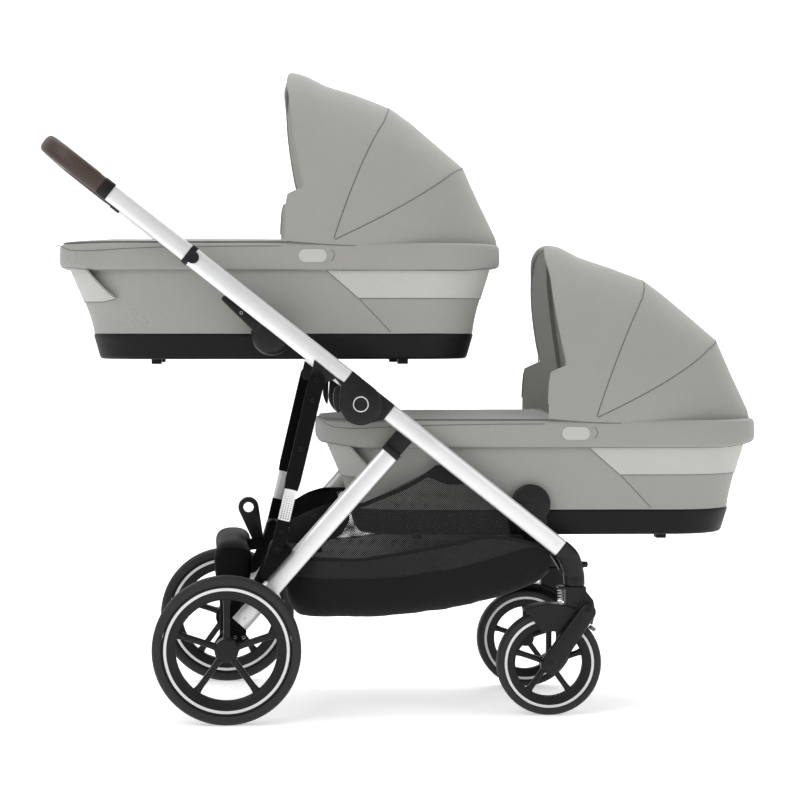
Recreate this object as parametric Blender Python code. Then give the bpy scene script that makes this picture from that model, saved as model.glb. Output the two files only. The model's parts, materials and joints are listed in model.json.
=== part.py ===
# Twin pram with two carry cots, as an assembly of separate pieces.
# Metres, +Z up, +X towards the front wheels, origin on the floor under the middle of the pram.
# The pusher stands at -X. Left and right are the pusher's: left is +Y, right is -Y.

import math

import bmesh
import bpy
from mathutils import Matrix, Vector

# Clearances
GAP = 0.0003           # between pieces that touch or run on each other
STEP_ANGLE = 30.0      # edges sharper than this stay sharp, in degrees

# Places in the side view, (x, z)
HINGE = (-0.0852, 0.6208)            # main fold hinge
TUBE_ANGLE = 141.75                  # direction of the upper tube from the hinge, in degrees
UPPER_TUBE_END = (-0.1120, 0.6702)   # lower end of the upper tube, on its centre line
FRONT_TUBE_END = (-0.0283, 0.6043)   # upper end of the front tube, on its centre line
FRONT_TUBE_FOOT = (0.3142, 0.3332)   # lower end of the front tube
LEG_PIVOT = (0.0151, 0.5699)         # where the rear leg turns on the front frame
LEG_FOOT = (-0.3208, 0.1898)         # lower end of the rear leg tube
STRUT_TOP = (-0.1711, 0.6678)
STRUT_FOOT = (-0.2479, 0.3421)
REAR_AXLE = (-0.3460, 0.1450)
FRONT_AXLE = (0.2940, 0.1040)
SWIVEL_X = 0.3450                    # caster axis
SWIVEL_SPLIT = 0.2567                # height of the split between caster head and fork
ARM_PIVOT = (0.3666, 0.2072)         # swing arm on the fork

# Half widths of a cot. The planes of the frame beside it follow from them.
TRAY_HALF = 0.1885
BODY_HALF = TRAY_HALF + 0.0165
RIM_HALF = BODY_HALF + 0.0125
BOSS_FACE = TRAY_HALF + 0.0115

# Side planes, distances from the centre plane
FRONT_TUBE_Y = RIM_HALF + 0.0275
FRONT_FOOT_Y = RIM_HALF - 0.0025
UPPER_TUBE_Y = FRONT_TUBE_Y + 0.0230
CASTER_Y = FRONT_FOOT_Y - 0.0250
REAR_WHEEL_Y = FRONT_TUBE_Y + 0.0460
HINGE_INNER_FACE = FRONT_TUBE_Y - 0.0105
HINGE_MIDDLE = HINGE_INNER_FACE + 0.0215
HINGE_OUTER_FACE = HINGE_MIDDLE + 0.0238
STRUT_INNER_FACE = HINGE_OUTER_FACE + 0.0020
STRUT_THICK = 0.0180
BRIDGE_ARM_Y = HINGE_INNER_FACE - 0.0130
LOWER_ADAPTER_FACE = FRONT_FOOT_Y - 0.0066

# Tubes: height across the side view, width across the pram
UPPER_TUBE_H = 0.0386
UPPER_TUBE_W = 0.0200
UPPER_TUBE_WALL = 0.0014
UPPER_TUBE_LENGTH = 0.3940
COLLAR_LENGTH = 0.0120
COLLAR_PROUD = 0.0015
FRONT_TUBE_H = 0.0362
FRONT_TUBE_W = 0.0200
FRONT_STRAIGHT = 0.1000              # length beside the leg pivot that stays parallel to the centre plane
LEG_H = 0.0380
LEG_W = 0.0195
HANDLE_REACH = 0.3430                # cross bar, measured from the top of the upper tube
HANDLE_INSERT = 0.1300               # handle tube inside the upper tube
HANDLE_BEND = 0.0600
GRIP_START = 0.2120
GRIP_H = 0.0372
GRIP_W = 0.0270

# Hinge, button, trigger
HINGE_RADIUS = 0.0404
HINGE_CAP_RADIUS = 0.0160
BUTTON_RADIUS = 0.0122
BUTTON_INSET = 0.0140                # from the top end of the upper tube
BUTTON_THICK = 0.0034
TRIGGER_THICK = 0.0190

# Leg sleeve
SLEEVE_LENGTH = 0.0637               # from the pivot to the start of the leg tube
SLEEVE_SOLID = 0.0525                # from the pivot to where the sleeve takes its full width
LUG_THICK = 0.0095

# Struts
SLEEVE_TUBE_LENGTH = 0.2174
SLEEVE_TUBE_H = 0.0310
ROD_H = 0.0235
ROD_W = 0.0110
ROD_INSERT = 0.1400
ROD_END_LENGTH = 0.0560
ROD_END_W = 0.0150

# Wheels
REAR_RADIUS = 0.1450
REAR_TYRE_W = 0.0420
REAR_TYRE_BORE = 0.1270
REAR_RIM_BORE = 0.1005
REAR_HUB_RADIUS = 0.0240
REAR_SIDES = 32
FRONT_RADIUS = 0.1040
FRONT_TYRE_W = 0.0360
FRONT_TYRE_BORE = 0.0900
FRONT_RIM_BORE = 0.0650
FRONT_HUB_RADIUS = 0.0180
FRONT_SIDES = 28
SPOKES = 5
AXLE_RADIUS = 0.0060
TREAD_FLAT = 0.5                     # flat part of the tread, as a share of the tyre width

# Swing arm, fork and spring
ARM_THICK = 0.0180
ARM_TOP_RADIUS = 0.0170
ARM_FOOT_RADIUS = 0.0195
FORK_HALF_WIDTH = 0.0180
GUARD_GAP = 0.0115
GUARD_THICK = 0.0035
GUARD_HALF_WIDTH = 0.0214
GUARD_FROM = 44.0
GUARD_TO = 116.0
CHEEK_INNER = 0.0640
SPRING_CENTRE = (0.3170, 0.0)        # x, and offset from the caster plane
SPRING_RADIUS = 0.0052
SPRING_WIRE = 0.0010
SPRING_TURNS = 4
SPRING_POINTS = 9

# Carry cots. The cot is drawn about its own centre, z from under its feet.
UPPER_COT = (-0.2380, 0.6970)
LOWER_COT = (0.2820, 0.3470)
RIM_REAR = -0.4430
RIM_FRONT = 0.4435
RIM_TOP = 0.2390
RIM_FOOT = 0.1850
RIM_CORNER = 0.1400
BODY_REAR = -0.4215
BODY_FRONT = 0.4240
TRAY_TOP = 0.0605
TRAY_FOOT = 0.0100
TRAY_REAR = -0.3750
TRAY_FRONT = 0.3910
TRAY_TAPER = 0.0110
FOOT_X = (-0.2470, 0.2445)
FOOT_Y = 0.1300
TUB_WALL = 0.0150
TUB_FLOOR = 0.0085
BOSS_X = -0.0220
BOSS_HALF = 0.0300
MATTRESS_THICK = 0.0360
MATTRESS_INSET = 0.0060
APRON_FRONT = 0.0200
APRON_DOME = 0.0075
APRON_THICK = 0.0030
HOOD_PIVOT = (0.1020, 0.2440)
HOOD_HALF = RIM_HALF - 0.0010
HOOD_THICK = 0.0025
HOOD_POWER = 2.6                     # shape of the arch: 2 is an ellipse, more is squarer
FRONT_BOW_ANGLE = 101.0
MIDDLE_BOW_ANGLE = 65.6
BOW_WIDE = 0.0070
BOW_THICK = 0.0045
BOW_TAIL = 0.0030
ADAPTER_RADIUS = 0.0405
UPPER_ADAPTER = (-0.2572, 0.7559)
LOWER_ADAPTER = (0.2561, 0.4205)

# Basket: (x, z) along its lower and upper edge, and (x, half width)
BASKET_FLOOR = [(-0.232, 0.262), (-0.222, 0.222), (-0.196, 0.199), (-0.088, 0.199),
                (0.069, 0.2115), (0.186, 0.2337), (0.270, 0.2620), (0.294, 0.2800)]
BASKET_TOP = [(-0.232, 0.380), (-0.222, 0.388), (-0.196, 0.402), (-0.131, 0.424), (-0.088, 0.4238),
              (0.069, 0.502), (0.110, 0.4948), (0.200, 0.4236), (0.2145, 0.372), (0.294, 0.332)]
BASKET_WIDTH = [(-0.232, BRIDGE_ARM_Y - 0.0175), (-0.210, BRIDGE_ARM_Y - 0.0145), (-0.165, FRONT_TUBE_Y - 0.0103),
                (0.048, FRONT_TUBE_Y - 0.0103), (0.294, FRONT_FOOT_Y - 0.0081)]
BASKET_WALL = 0.0025
BASKET_CORNER = 0.0350

# Rear bridge and pedal
BRIDGE_X = -0.3270
BRIDGE_CREST = 0.3180
PEDAL_PIVOT = (-0.2790, 0.3260)
PEDAL_EYE = (-0.3015, 0.4006)
PEDAL_EYE_RADIUS = 0.0210
PEDAL_HOLE = 0.0100
PEDAL_HALF = 0.0100

SIDES = {"left": 1.0, "right": -1.0}


# Small helpers for places and outlines

def direction(degrees):
    return Vector((math.cos(math.radians(degrees)), math.sin(math.radians(degrees))))


def between(a, b, t):
    return a + (b - a) * t


def lookup(table, x):
    """Height at x on a chain of (x, z) points."""
    for (x0, z0), (x1, z1) in zip(table, table[1:]):
        if x <= x1:
            return between(z0, z1, max(0.0, (x - x0) / (x1 - x0)))
    return table[-1][1]


def arc(centre, radius, start, end, count):
    return [Vector(centre) + direction(between(start, end, i / count)) * radius for i in range(count + 1)]


def hull(points):
    """Convex outline round a cloud of (x, z) points."""
    points = sorted({(round(p[0], 6), round(p[1], 6)) for p in points})

    def half(order):
        chain = []
        for p in order:
            while len(chain) > 1 and (
                (chain[-1][0] - chain[-2][0]) * (p[1] - chain[-2][1])
                - (chain[-1][1] - chain[-2][1]) * (p[0] - chain[-2][0])
            ) <= 1e-10:
                chain.pop()
            chain.append(p)
        return chain[:-1]

    return [Vector(p) for p in half(points) + half(points[::-1])]


def link_outline(start, start_radius, end, end_radius, count=10):
    """Outline of a link with a round end at each of two places."""
    return hull(arc(start, start_radius, 0, 360, 2 * count) + arc(end, end_radius, 0, 360, 2 * count))


def tube_corners(end, angle, height):
    """The two corners of a tube's end in the side view."""
    across = direction(angle + 90) * (height / 2)
    return [Vector(end) + across, Vector(end) - across]


def oval(centre, long_way, short_way, height, width, count=12, power=2.6):
    """A ring of points: height along long_way, width along short_way."""
    ring = []
    for i in range(count):
        a = 2 * math.pi * (i + 0.5) / count
        c, s = math.cos(a), math.sin(a)
        u = math.copysign(abs(c) ** (2 / power), c) * height / 2
        v = math.copysign(abs(s) ** (2 / power), s) * width / 2
        ring.append(Vector(centre) + Vector(long_way) * u + Vector(short_way) * v)
    return ring


def rounded_ring(rear, front, half, corner, z, count=4):
    """A rounded rectangle in plan at height z."""
    corner = min(corner, half * 0.98)
    ring = []
    for cx, cy, start in (
        (front - corner, half - corner, 0),
        (rear + corner, half - corner, 90),
        (rear + corner, -half + corner, 180),
        (front - corner, -half + corner, 270),
    ):
        for p in arc((cx, cy), corner, start, start + 90, count):
            ring.append(Vector((p.x, p.y, z)))
    return ring


# Meshes

def closed_mesh(name, points, faces):
    """A mesh whose faces all point out."""
    mesh = bpy.data.meshes.new(name)
    mesh.from_pydata([tuple(p) for p in points], [], faces)
    work = bmesh.new()
    work.from_mesh(mesh)
    bmesh.ops.recalc_face_normals(work, faces=work.faces)
    if work.calc_volume(signed=True) < 0:
        bmesh.ops.reverse_faces(work, faces=work.faces)
    work.to_mesh(mesh)
    work.free()
    return mesh


def loft(name, rings, looped=False):
    """A skin over rings of equal count, with its two ends filled, or joined end to end."""
    count = len(rings[0])
    points = [p for ring in rings for p in ring]
    faces = []
    pairs = list(zip(range(len(rings) - 1), range(1, len(rings))))
    if looped:
        pairs.append((len(rings) - 1, 0))
    for a, b in pairs:
        for i in range(count):
            j = (i + 1) % count
            faces.append((a * count + i, a * count + j, b * count + j, b * count + i))
    if not looped:
        faces.append(tuple(range(count))[::-1])
        last = (len(rings) - 1) * count
        faces.append(tuple(range(last, last + count)))
    return closed_mesh(name, points, faces)


def slab(name, outer, inner):
    """A closed sheet between two grids of equal size."""
    rows, cols = len(outer), len(outer[0])
    points = [p for row in outer for p in row] + [p for row in inner for p in row]
    base = rows * cols
    faces = []
    for r in range(rows - 1):
        for c in range(cols - 1):
            a, b, d, e = r * cols + c, r * cols + c + 1, (r + 1) * cols + c + 1, (r + 1) * cols + c
            faces.append((a, b, d, e))
            faces.append((base + e, base + d, base + b, base + a))
    border = [(0, c) for c in range(cols)] + [(r, cols - 1) for r in range(1, rows)]
    border += [(rows - 1, c) for c in range(cols - 2, -1, -1)] + [(r, 0) for r in range(rows - 2, 0, -1)]
    for (r0, c0), (r1, c1) in zip(border, border[1:] + border[:1]):
        a, b = r0 * cols + c0, r1 * cols + c1
        faces.append((b, a, base + a, base + b))
    return closed_mesh(name, points, faces)


def plate(name, outline, y0, y1, bevel=0.0):
    """An outline in the side view given a thickness across the pram, its two rims bevelled."""
    rings = []
    inset = offset_outline(outline, bevel) if bevel else outline
    lo, hi = min(y0, y1), max(y0, y1)
    if bevel:
        rings.append([Vector((p[0], lo, p[1])) for p in inset])
    rings.append([Vector((p[0], lo + bevel, p[1])) for p in outline])
    rings.append([Vector((p[0], hi - bevel, p[1])) for p in outline])
    if bevel:
        rings.append([Vector((p[0], hi, p[1])) for p in inset])
    return loft(name, rings)


def offset_outline(outline, distance):
    """The outline drawn in by a distance."""
    count = len(outline)
    area = sum(a[0] * b[1] - b[0] * a[1] for a, b in zip(outline, outline[1:] + outline[:1]))
    turn = 1.0 if area > 0 else -1.0
    result = []
    for i, p in enumerate(outline):
        before = (Vector(p) - Vector(outline[i - 1])).normalized()
        after = (Vector(outline[(i + 1) % count]) - Vector(p)).normalized()
        normal = Vector((-(before.y + after.y), before.x + after.x)) * turn
        if normal.length < 1e-6:
            normal = Vector((-after.y, after.x)) * turn
        normal.normalize()
        side = Vector((-after.y, after.x)) * turn
        result.append(Vector(p) + normal * (distance / max(0.5, normal.dot(side))))
    return result


def rod(name, start, end, radius, count=16):
    """A round bar between two points."""
    way = (Vector(end) - Vector(start)).normalized()
    side = way.orthogonal().normalized()
    other = way.cross(side)
    return loft(name, [
        [Vector(c) + side * (radius * math.cos(2 * math.pi * i / count))
         + other * (radius * math.sin(2 * math.pi * i / count)) for i in range(count)]
        for c in (start, end)
    ])


def box(name, low, high):
    x0, y0, z0 = low
    x1, y1, z1 = high
    ring = [(x0, y0), (x1, y0), (x1, y1), (x0, y1)]
    return loft(name, [[Vector((x, y, z)) for x, y in ring] for z in (z0, z1)])


def turned(name, profile, centre, y_mid, side, count):
    """A closed profile of (radius, y) points turned round the axle; a flat lies at the bottom."""
    stretch = 1 / math.cos(math.pi / count)
    rings = []
    for i in range(count):
        a = -math.pi / 2 + 2 * math.pi * (i + 0.5) / count
        rings.append([
            Vector((centre[0] + r * stretch * math.cos(a), y_mid + side * y,
                    centre[1] + r * stretch * math.sin(a)))
            for r, y in profile
        ])
    return loft(name, rings, looped=True)


# Objects: every node belongs to a body, whose empty stands on its joint

materials = {}
bodies = {}
places = {}


def material(name, colour, roughness, metallic=0.0):
    mat = bpy.data.materials.new(name)
    mat.use_nodes = True
    shader = mat.node_tree.nodes["Principled BSDF"]
    shader.inputs["Base Color"].default_value = (*colour, 1.0)
    shader.inputs["Roughness"].default_value = roughness
    shader.inputs["Metallic"].default_value = metallic
    mat.diffuse_color = (*colour, 1.0)
    materials[name] = mat


def body(name, parent, place):
    empty = bpy.data.objects.new(f"{name}_joint", None)
    empty.empty_display_size = 0.03
    bpy.context.scene.collection.objects.link(empty)
    places[name] = Vector(place)
    if parent:
        empty.parent = bodies[parent]
        empty.location = Vector(place) - places[parent]
    else:
        empty.location = Vector(place)
    bodies[name] = empty


def mesh_object(mesh):
    obj = bpy.data.objects.new(mesh.name, mesh)
    bpy.context.scene.collection.objects.link(obj)
    return obj


def combine(base, others, operation, solver="EXACT"):
    """Joins meshes to a base mesh, or cuts them from it."""
    target = mesh_object(base)
    tools = [mesh_object(other) for other in others]
    for tool in tools:
        step = target.modifiers.new("combine", "BOOLEAN")
        step.operation = operation
        step.solver = solver
        step.object = tool
    bpy.context.view_layer.update()
    graph = bpy.context.evaluated_depsgraph_get()
    result = bpy.data.meshes.new_from_object(target.evaluated_get(graph))
    for obj in [target] + tools:
        bpy.data.objects.remove(obj, do_unlink=True)
    work = bmesh.new()
    work.from_mesh(result)
    bmesh.ops.remove_doubles(work, verts=work.verts, dist=2e-6)
    bmesh.ops.dissolve_degenerate(work, dist=2e-6, edges=work.edges)
    work.to_mesh(result)
    work.free()
    return result


def union(base, *others, **options):
    return combine(base, others, "UNION", **options)


def cut(base, *others, **options):
    return combine(base, others, "DIFFERENCE", **options)


def node(name, mesh, body_name, material_name):
    """Puts a mesh drawn in world places on a body."""
    mesh.transform(Matrix.Translation(-places[body_name]))
    mesh.name = name
    mesh.materials.clear()
    mesh.materials.append(materials[material_name])
    mesh.polygons.foreach_set("material_index", [0] * len(mesh.polygons))
    mesh.shade_smooth()
    mesh.set_sharp_from_angle(angle=math.radians(STEP_ANGLE))
    obj = bpy.data.objects.new(name, mesh)
    obj.parent = bodies[body_name]
    bpy.context.scene.collection.objects.link(obj)
    return obj


# Straight oval tubes in the side view

def side_tube(name, start, end, y, height, width, stations=(0.0, 1.0), y_at=None):
    way = (Vector(end) - Vector(start)).normalized()
    across = Vector((-way.y, 0, way.x))
    rings = []
    for t in stations:
        p = between(Vector(start), Vector(end), t)
        rings.append(oval((p.x, y if y_at is None else y_at(t), p.y), across, (0, 1, 0), height, width))
    return loft(name, rings)


def front_tube_inner(x):
    """Distance of the front tube's inner face from the centre plane."""
    run = FRONT_TUBE_FOOT[0] - FRONT_TUBE_END[0]
    length = (Vector(FRONT_TUBE_FOOT) - Vector(FRONT_TUBE_END)).length
    bend = FRONT_STRAIGHT / length
    share = max(0.0, (x - FRONT_TUBE_END[0]) / run - bend) / (1 - bend)
    return between(FRONT_TUBE_Y, FRONT_FOOT_Y, share) - FRONT_TUBE_W / 2


def make_front_frame():
    length = (Vector(FRONT_TUBE_FOOT) - Vector(FRONT_TUBE_END)).length
    bend = FRONT_STRAIGHT / length
    for label, side in SIDES.items():
        def y_at(t, side=side):
            slope = max(0.0, t - bend) / (1 - bend)
            return side * between(FRONT_TUBE_Y, FRONT_FOOT_Y, slope)

        tube = side_tube(f"front_tube_{label}", FRONT_TUBE_END, FRONT_TUBE_FOOT, 0, FRONT_TUBE_H,
                         FRONT_TUBE_W, (0.0, bend, bend + 0.12, 1.0), y_at)
        node(f"front_tube_{label}", tube, "chassis", "aluminium")

        # inner half of the fold hinge: a disc run out to the end of the front tube
        angle = math.degrees(math.atan2(FRONT_TUBE_FOOT[1] - FRONT_TUBE_END[1],
                                        FRONT_TUBE_FOOT[0] - FRONT_TUBE_END[0]))
        back = Vector(FRONT_TUBE_END) - direction(angle) * GAP
        outline = hull(arc(HINGE, HINGE_RADIUS, 0, 360, 26) + tube_corners(back, angle, FRONT_TUBE_H))
        node(f"hinge_lower_{label}",
             plate("hinge_lower", outline, side * HINGE_INNER_FACE, side * HINGE_MIDDLE, 0.0015),
             "chassis", "black_plastic")

    # caster heads with the beam between them
    tube_way = (Vector(FRONT_TUBE_FOOT) - Vector(FRONT_TUBE_END)).normalized()
    across = Vector((-tube_way.y, 0, tube_way.x))
    heads = []
    for side in SIDES.values():
        foot = Vector(FRONT_TUBE_FOOT) + tube_way * GAP
        lean = (Vector((1, 0, 0)) + across).normalized()
        rings = [
            oval((SWIVEL_X, side * CASTER_Y, SWIVEL_SPLIT), (1, 0, 0), (0, 1, 0), 0.0415, 0.0380, 14, 2.3),
            oval((SWIVEL_X - 0.002, side * CASTER_Y, SWIVEL_SPLIT + 0.025), (1, 0, 0), (0, 1, 0),
                 0.0430, 0.0380, 14, 2.3),
            oval((SWIVEL_X - 0.012, side * (CASTER_Y + 0.012), SWIVEL_SPLIT + 0.055), lean, (0, 1, 0),
                 0.0430, 0.0300, 14, 2.4),
            oval((foot.x, side * FRONT_FOOT_Y, foot.y), across, (0, 1, 0), 0.0380, 0.0230, 14, 2.6),
        ]
        heads.append(loft("head", rings))
        heads.append(rod("lock", (SWIVEL_X, side * CASTER_Y, SWIVEL_SPLIT + 0.0430),
                         (SWIVEL_X + 0.0275, side * CASTER_Y, SWIVEL_SPLIT + 0.0420), 0.0060, 10))
    beam_points = [(-1.0, 0.0), (-0.6, 0.014), (0.0, 0.020), (0.6, 0.014), (1.0, 0.0)]
    beam = loft("beam", [
        oval((SWIVEL_X - 0.0200, share * CASTER_Y, SWIVEL_SPLIT + 0.0330 + rise), (1, 0, 0), (0, 0, 1),
             0.0220, 0.0240, 10, 2.3)
        for share, rise in beam_points
    ])
    node("front_beam", union(beam, *heads), "chassis", "black_plastic")


def basket_section(x, wall, rise):
    """Closed outline across the pram at x: a round-cornered trough."""
    floor = lookup(BASKET_FLOOR, x) + wall
    top = lookup(BASKET_TOP, x) + rise
    half = lookup(BASKET_WIDTH, x) - wall
    corner = BASKET_CORNER - wall
    section = [Vector((x, -half, top))]
    for p in arc((-half + corner, floor + corner), corner, 180, 270, 3):
        section.append(Vector((x, p.x, p.y)))
    for p in arc((half - corner, floor + corner), corner, 270, 360, 3):
        section.append(Vector((x, p.x, p.y)))
    section.append(Vector((x, half, top)))
    return section


def make_basket():
    stations = sorted({x for x, _ in BASKET_FLOOR + BASKET_TOP + BASKET_WIDTH})
    outer = loft("basket", [basket_section(x, 0.0, 0.0) for x in stations])
    inner_x = [stations[0] + BASKET_WALL] + stations[1:-1] + [stations[-1] - BASKET_WALL]
    inner = loft("basket_space", [basket_section(x, BASKET_WALL, 0.02) for x in inner_x])
    node("basket", cut(outer, inner), "chassis", "black_fabric")


def make_upper_frame():
    way = direction(TUBE_ANGLE)
    across = Vector((-way.y, 0, way.x))
    start = Vector(UPPER_TUBE_END)
    top = start + way * UPPER_TUBE_LENGTH
    for label, side in SIDES.items():
        y = side * UPPER_TUBE_Y

        def ring(s, grow, hollow=False):
            p = start + way * s
            shrink = 2 * UPPER_TUBE_WALL if hollow else 0.0
            return oval((p.x, y, p.y), across, (0, 1, 0), UPPER_TUBE_H + grow - shrink,
                        UPPER_TUBE_W + grow - shrink)

        rings = [
            ring(0.0, 0.0),
            ring(UPPER_TUBE_LENGTH - COLLAR_LENGTH, 0.0),
            ring(UPPER_TUBE_LENGTH - COLLAR_LENGTH, 2 * COLLAR_PROUD),
            ring(UPPER_TUBE_LENGTH, 2 * COLLAR_PROUD),
            ring(UPPER_TUBE_LENGTH, 0.0, True),
            ring(0.006, 0.0, True),
        ]
        tube = loft("upper_tube", rings)
        spot = start + way * (UPPER_TUBE_LENGTH - BUTTON_INSET)
        hole = rod("button_hole", (spot.x, y + side * 0.0060, spot.y), (spot.x, y + side * 0.0300, spot.y),
                   BUTTON_RADIUS + GAP, 16)
        node(f"upper_tube_{label}", cut(tube, hole), "upper_frame", "aluminium")

        low = UPPER_TUBE_Y + UPPER_TUBE_W / 2 + GAP
        node(f"height_button_{label}",
             rod("button", (spot.x, side * low, spot.y), (spot.x, side * (low + BUTTON_THICK), spot.y),
                 BUTTON_RADIUS, 16),
             f"button_{label}", "black_plastic")

        # outer half of the fold hinge with the strut bracket
        end = start - way * GAP
        outline = hull(arc(HINGE, HINGE_RADIUS + 0.0006, 0, 360, 26)
                       + tube_corners(end, TUBE_ANGLE, UPPER_TUBE_H))
        disc = plate("hinge_upper", outline, side * (HINGE_MIDDLE + GAP), side * HINGE_OUTER_FACE, 0.0020)
        cap = rod("hinge_cap", (HINGE[0], side * (HINGE_OUTER_FACE - 0.002), HINGE[1]),
                  (HINGE[0], side * (HINGE_OUTER_FACE + 0.0012), HINGE[1]), HINGE_CAP_RADIUS, 18)
        bracket_in = UPPER_TUBE_Y + UPPER_TUBE_W / 2 + GAP
        bracket = hull([(-0.1755, 0.7078), (-0.1315, 0.6720)] + arc(STRUT_TOP, 0.0130, 150, 360, 10))
        neck = hull([(-0.1400, 0.6770), (-0.1290, 0.6640), (-0.1150, 0.6480), (-0.1060, 0.6560)])
        node(f"hinge_upper_{label}",
             union(disc, cap,
                   plate("bracket", bracket, side * bracket_in, side * (STRUT_INNER_FACE - GAP)),
                   plate("neck", neck, side * (bracket_in + 0.0002), side * (STRUT_INNER_FACE - 0.0009))),
             "upper_frame", "black_plastic")

        lever = [(-0.1264, 0.6570), (-0.1340, 0.6545), (-0.1385, 0.6400), (-0.1380, 0.6220),
                 (-0.1325, 0.6065), (-0.1285, 0.6030), (-0.1272, 0.6120), (-0.1270, 0.6215)]
        face = HINGE_MIDDLE + 2 * GAP
        node(f"fold_trigger_{label}",
             plate("trigger", [Vector(p) for p in lever], side * face, side * (face + TRIGGER_THICK), 0.0010),
             f"trigger_{label}", "black_plastic")
    return top


def handle_path(extra=0.0, count=5):
    """Points (s, y) of the U, from inside the left tube round to the right one."""
    y, bend = UPPER_TUBE_Y, HANDLE_BEND
    points = [(extra, y)]
    for p in arc((HANDLE_REACH - bend, y - bend), bend, 90, 0, count):
        points.append((p.x, p.y))
    return points + [(s, -yy) for s, yy in reversed(points)]


def handle_rings(points, height, width, top):
    way = direction(TUBE_ANGLE)
    along = Vector((way.x, 0, way.y))
    across = Vector((-way.y, 0, way.x))
    rings = []
    for i, (s, y) in enumerate(points):
        before = points[max(0, i - 1)]
        after = points[min(len(points) - 1, i + 1)]
        heading = Vector((after[0] - before[0], after[1] - before[1])).normalized()
        sideways = along * (-heading.y) + Vector((0, 1, 0)) * heading.x
        centre = Vector((top.x, 0, top.y)) + along * s + Vector((0, y, 0))
        rings.append(oval(centre, across, sideways, height, width))
    return rings


def make_handle(top):
    height = UPPER_TUBE_H - 2 * UPPER_TUBE_WALL - 2 * GAP
    width = UPPER_TUBE_W - 2 * UPPER_TUBE_WALL - 2 * GAP
    bar = loft("handle_bar", handle_rings(handle_path(-HANDLE_INSERT), height, width, top))
    node("handle_bar", bar, "handle", "aluminium")
    path = handle_path(GRIP_START)
    outer = handle_rings(path, GRIP_H, GRIP_W, top)
    inner = handle_rings(path, height + 2 * GAP, width + 2 * GAP, top)
    node("handle_grip", loft("handle_grip", outer + inner[::-1], looped=True), "handle", "brown_leather")


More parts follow.
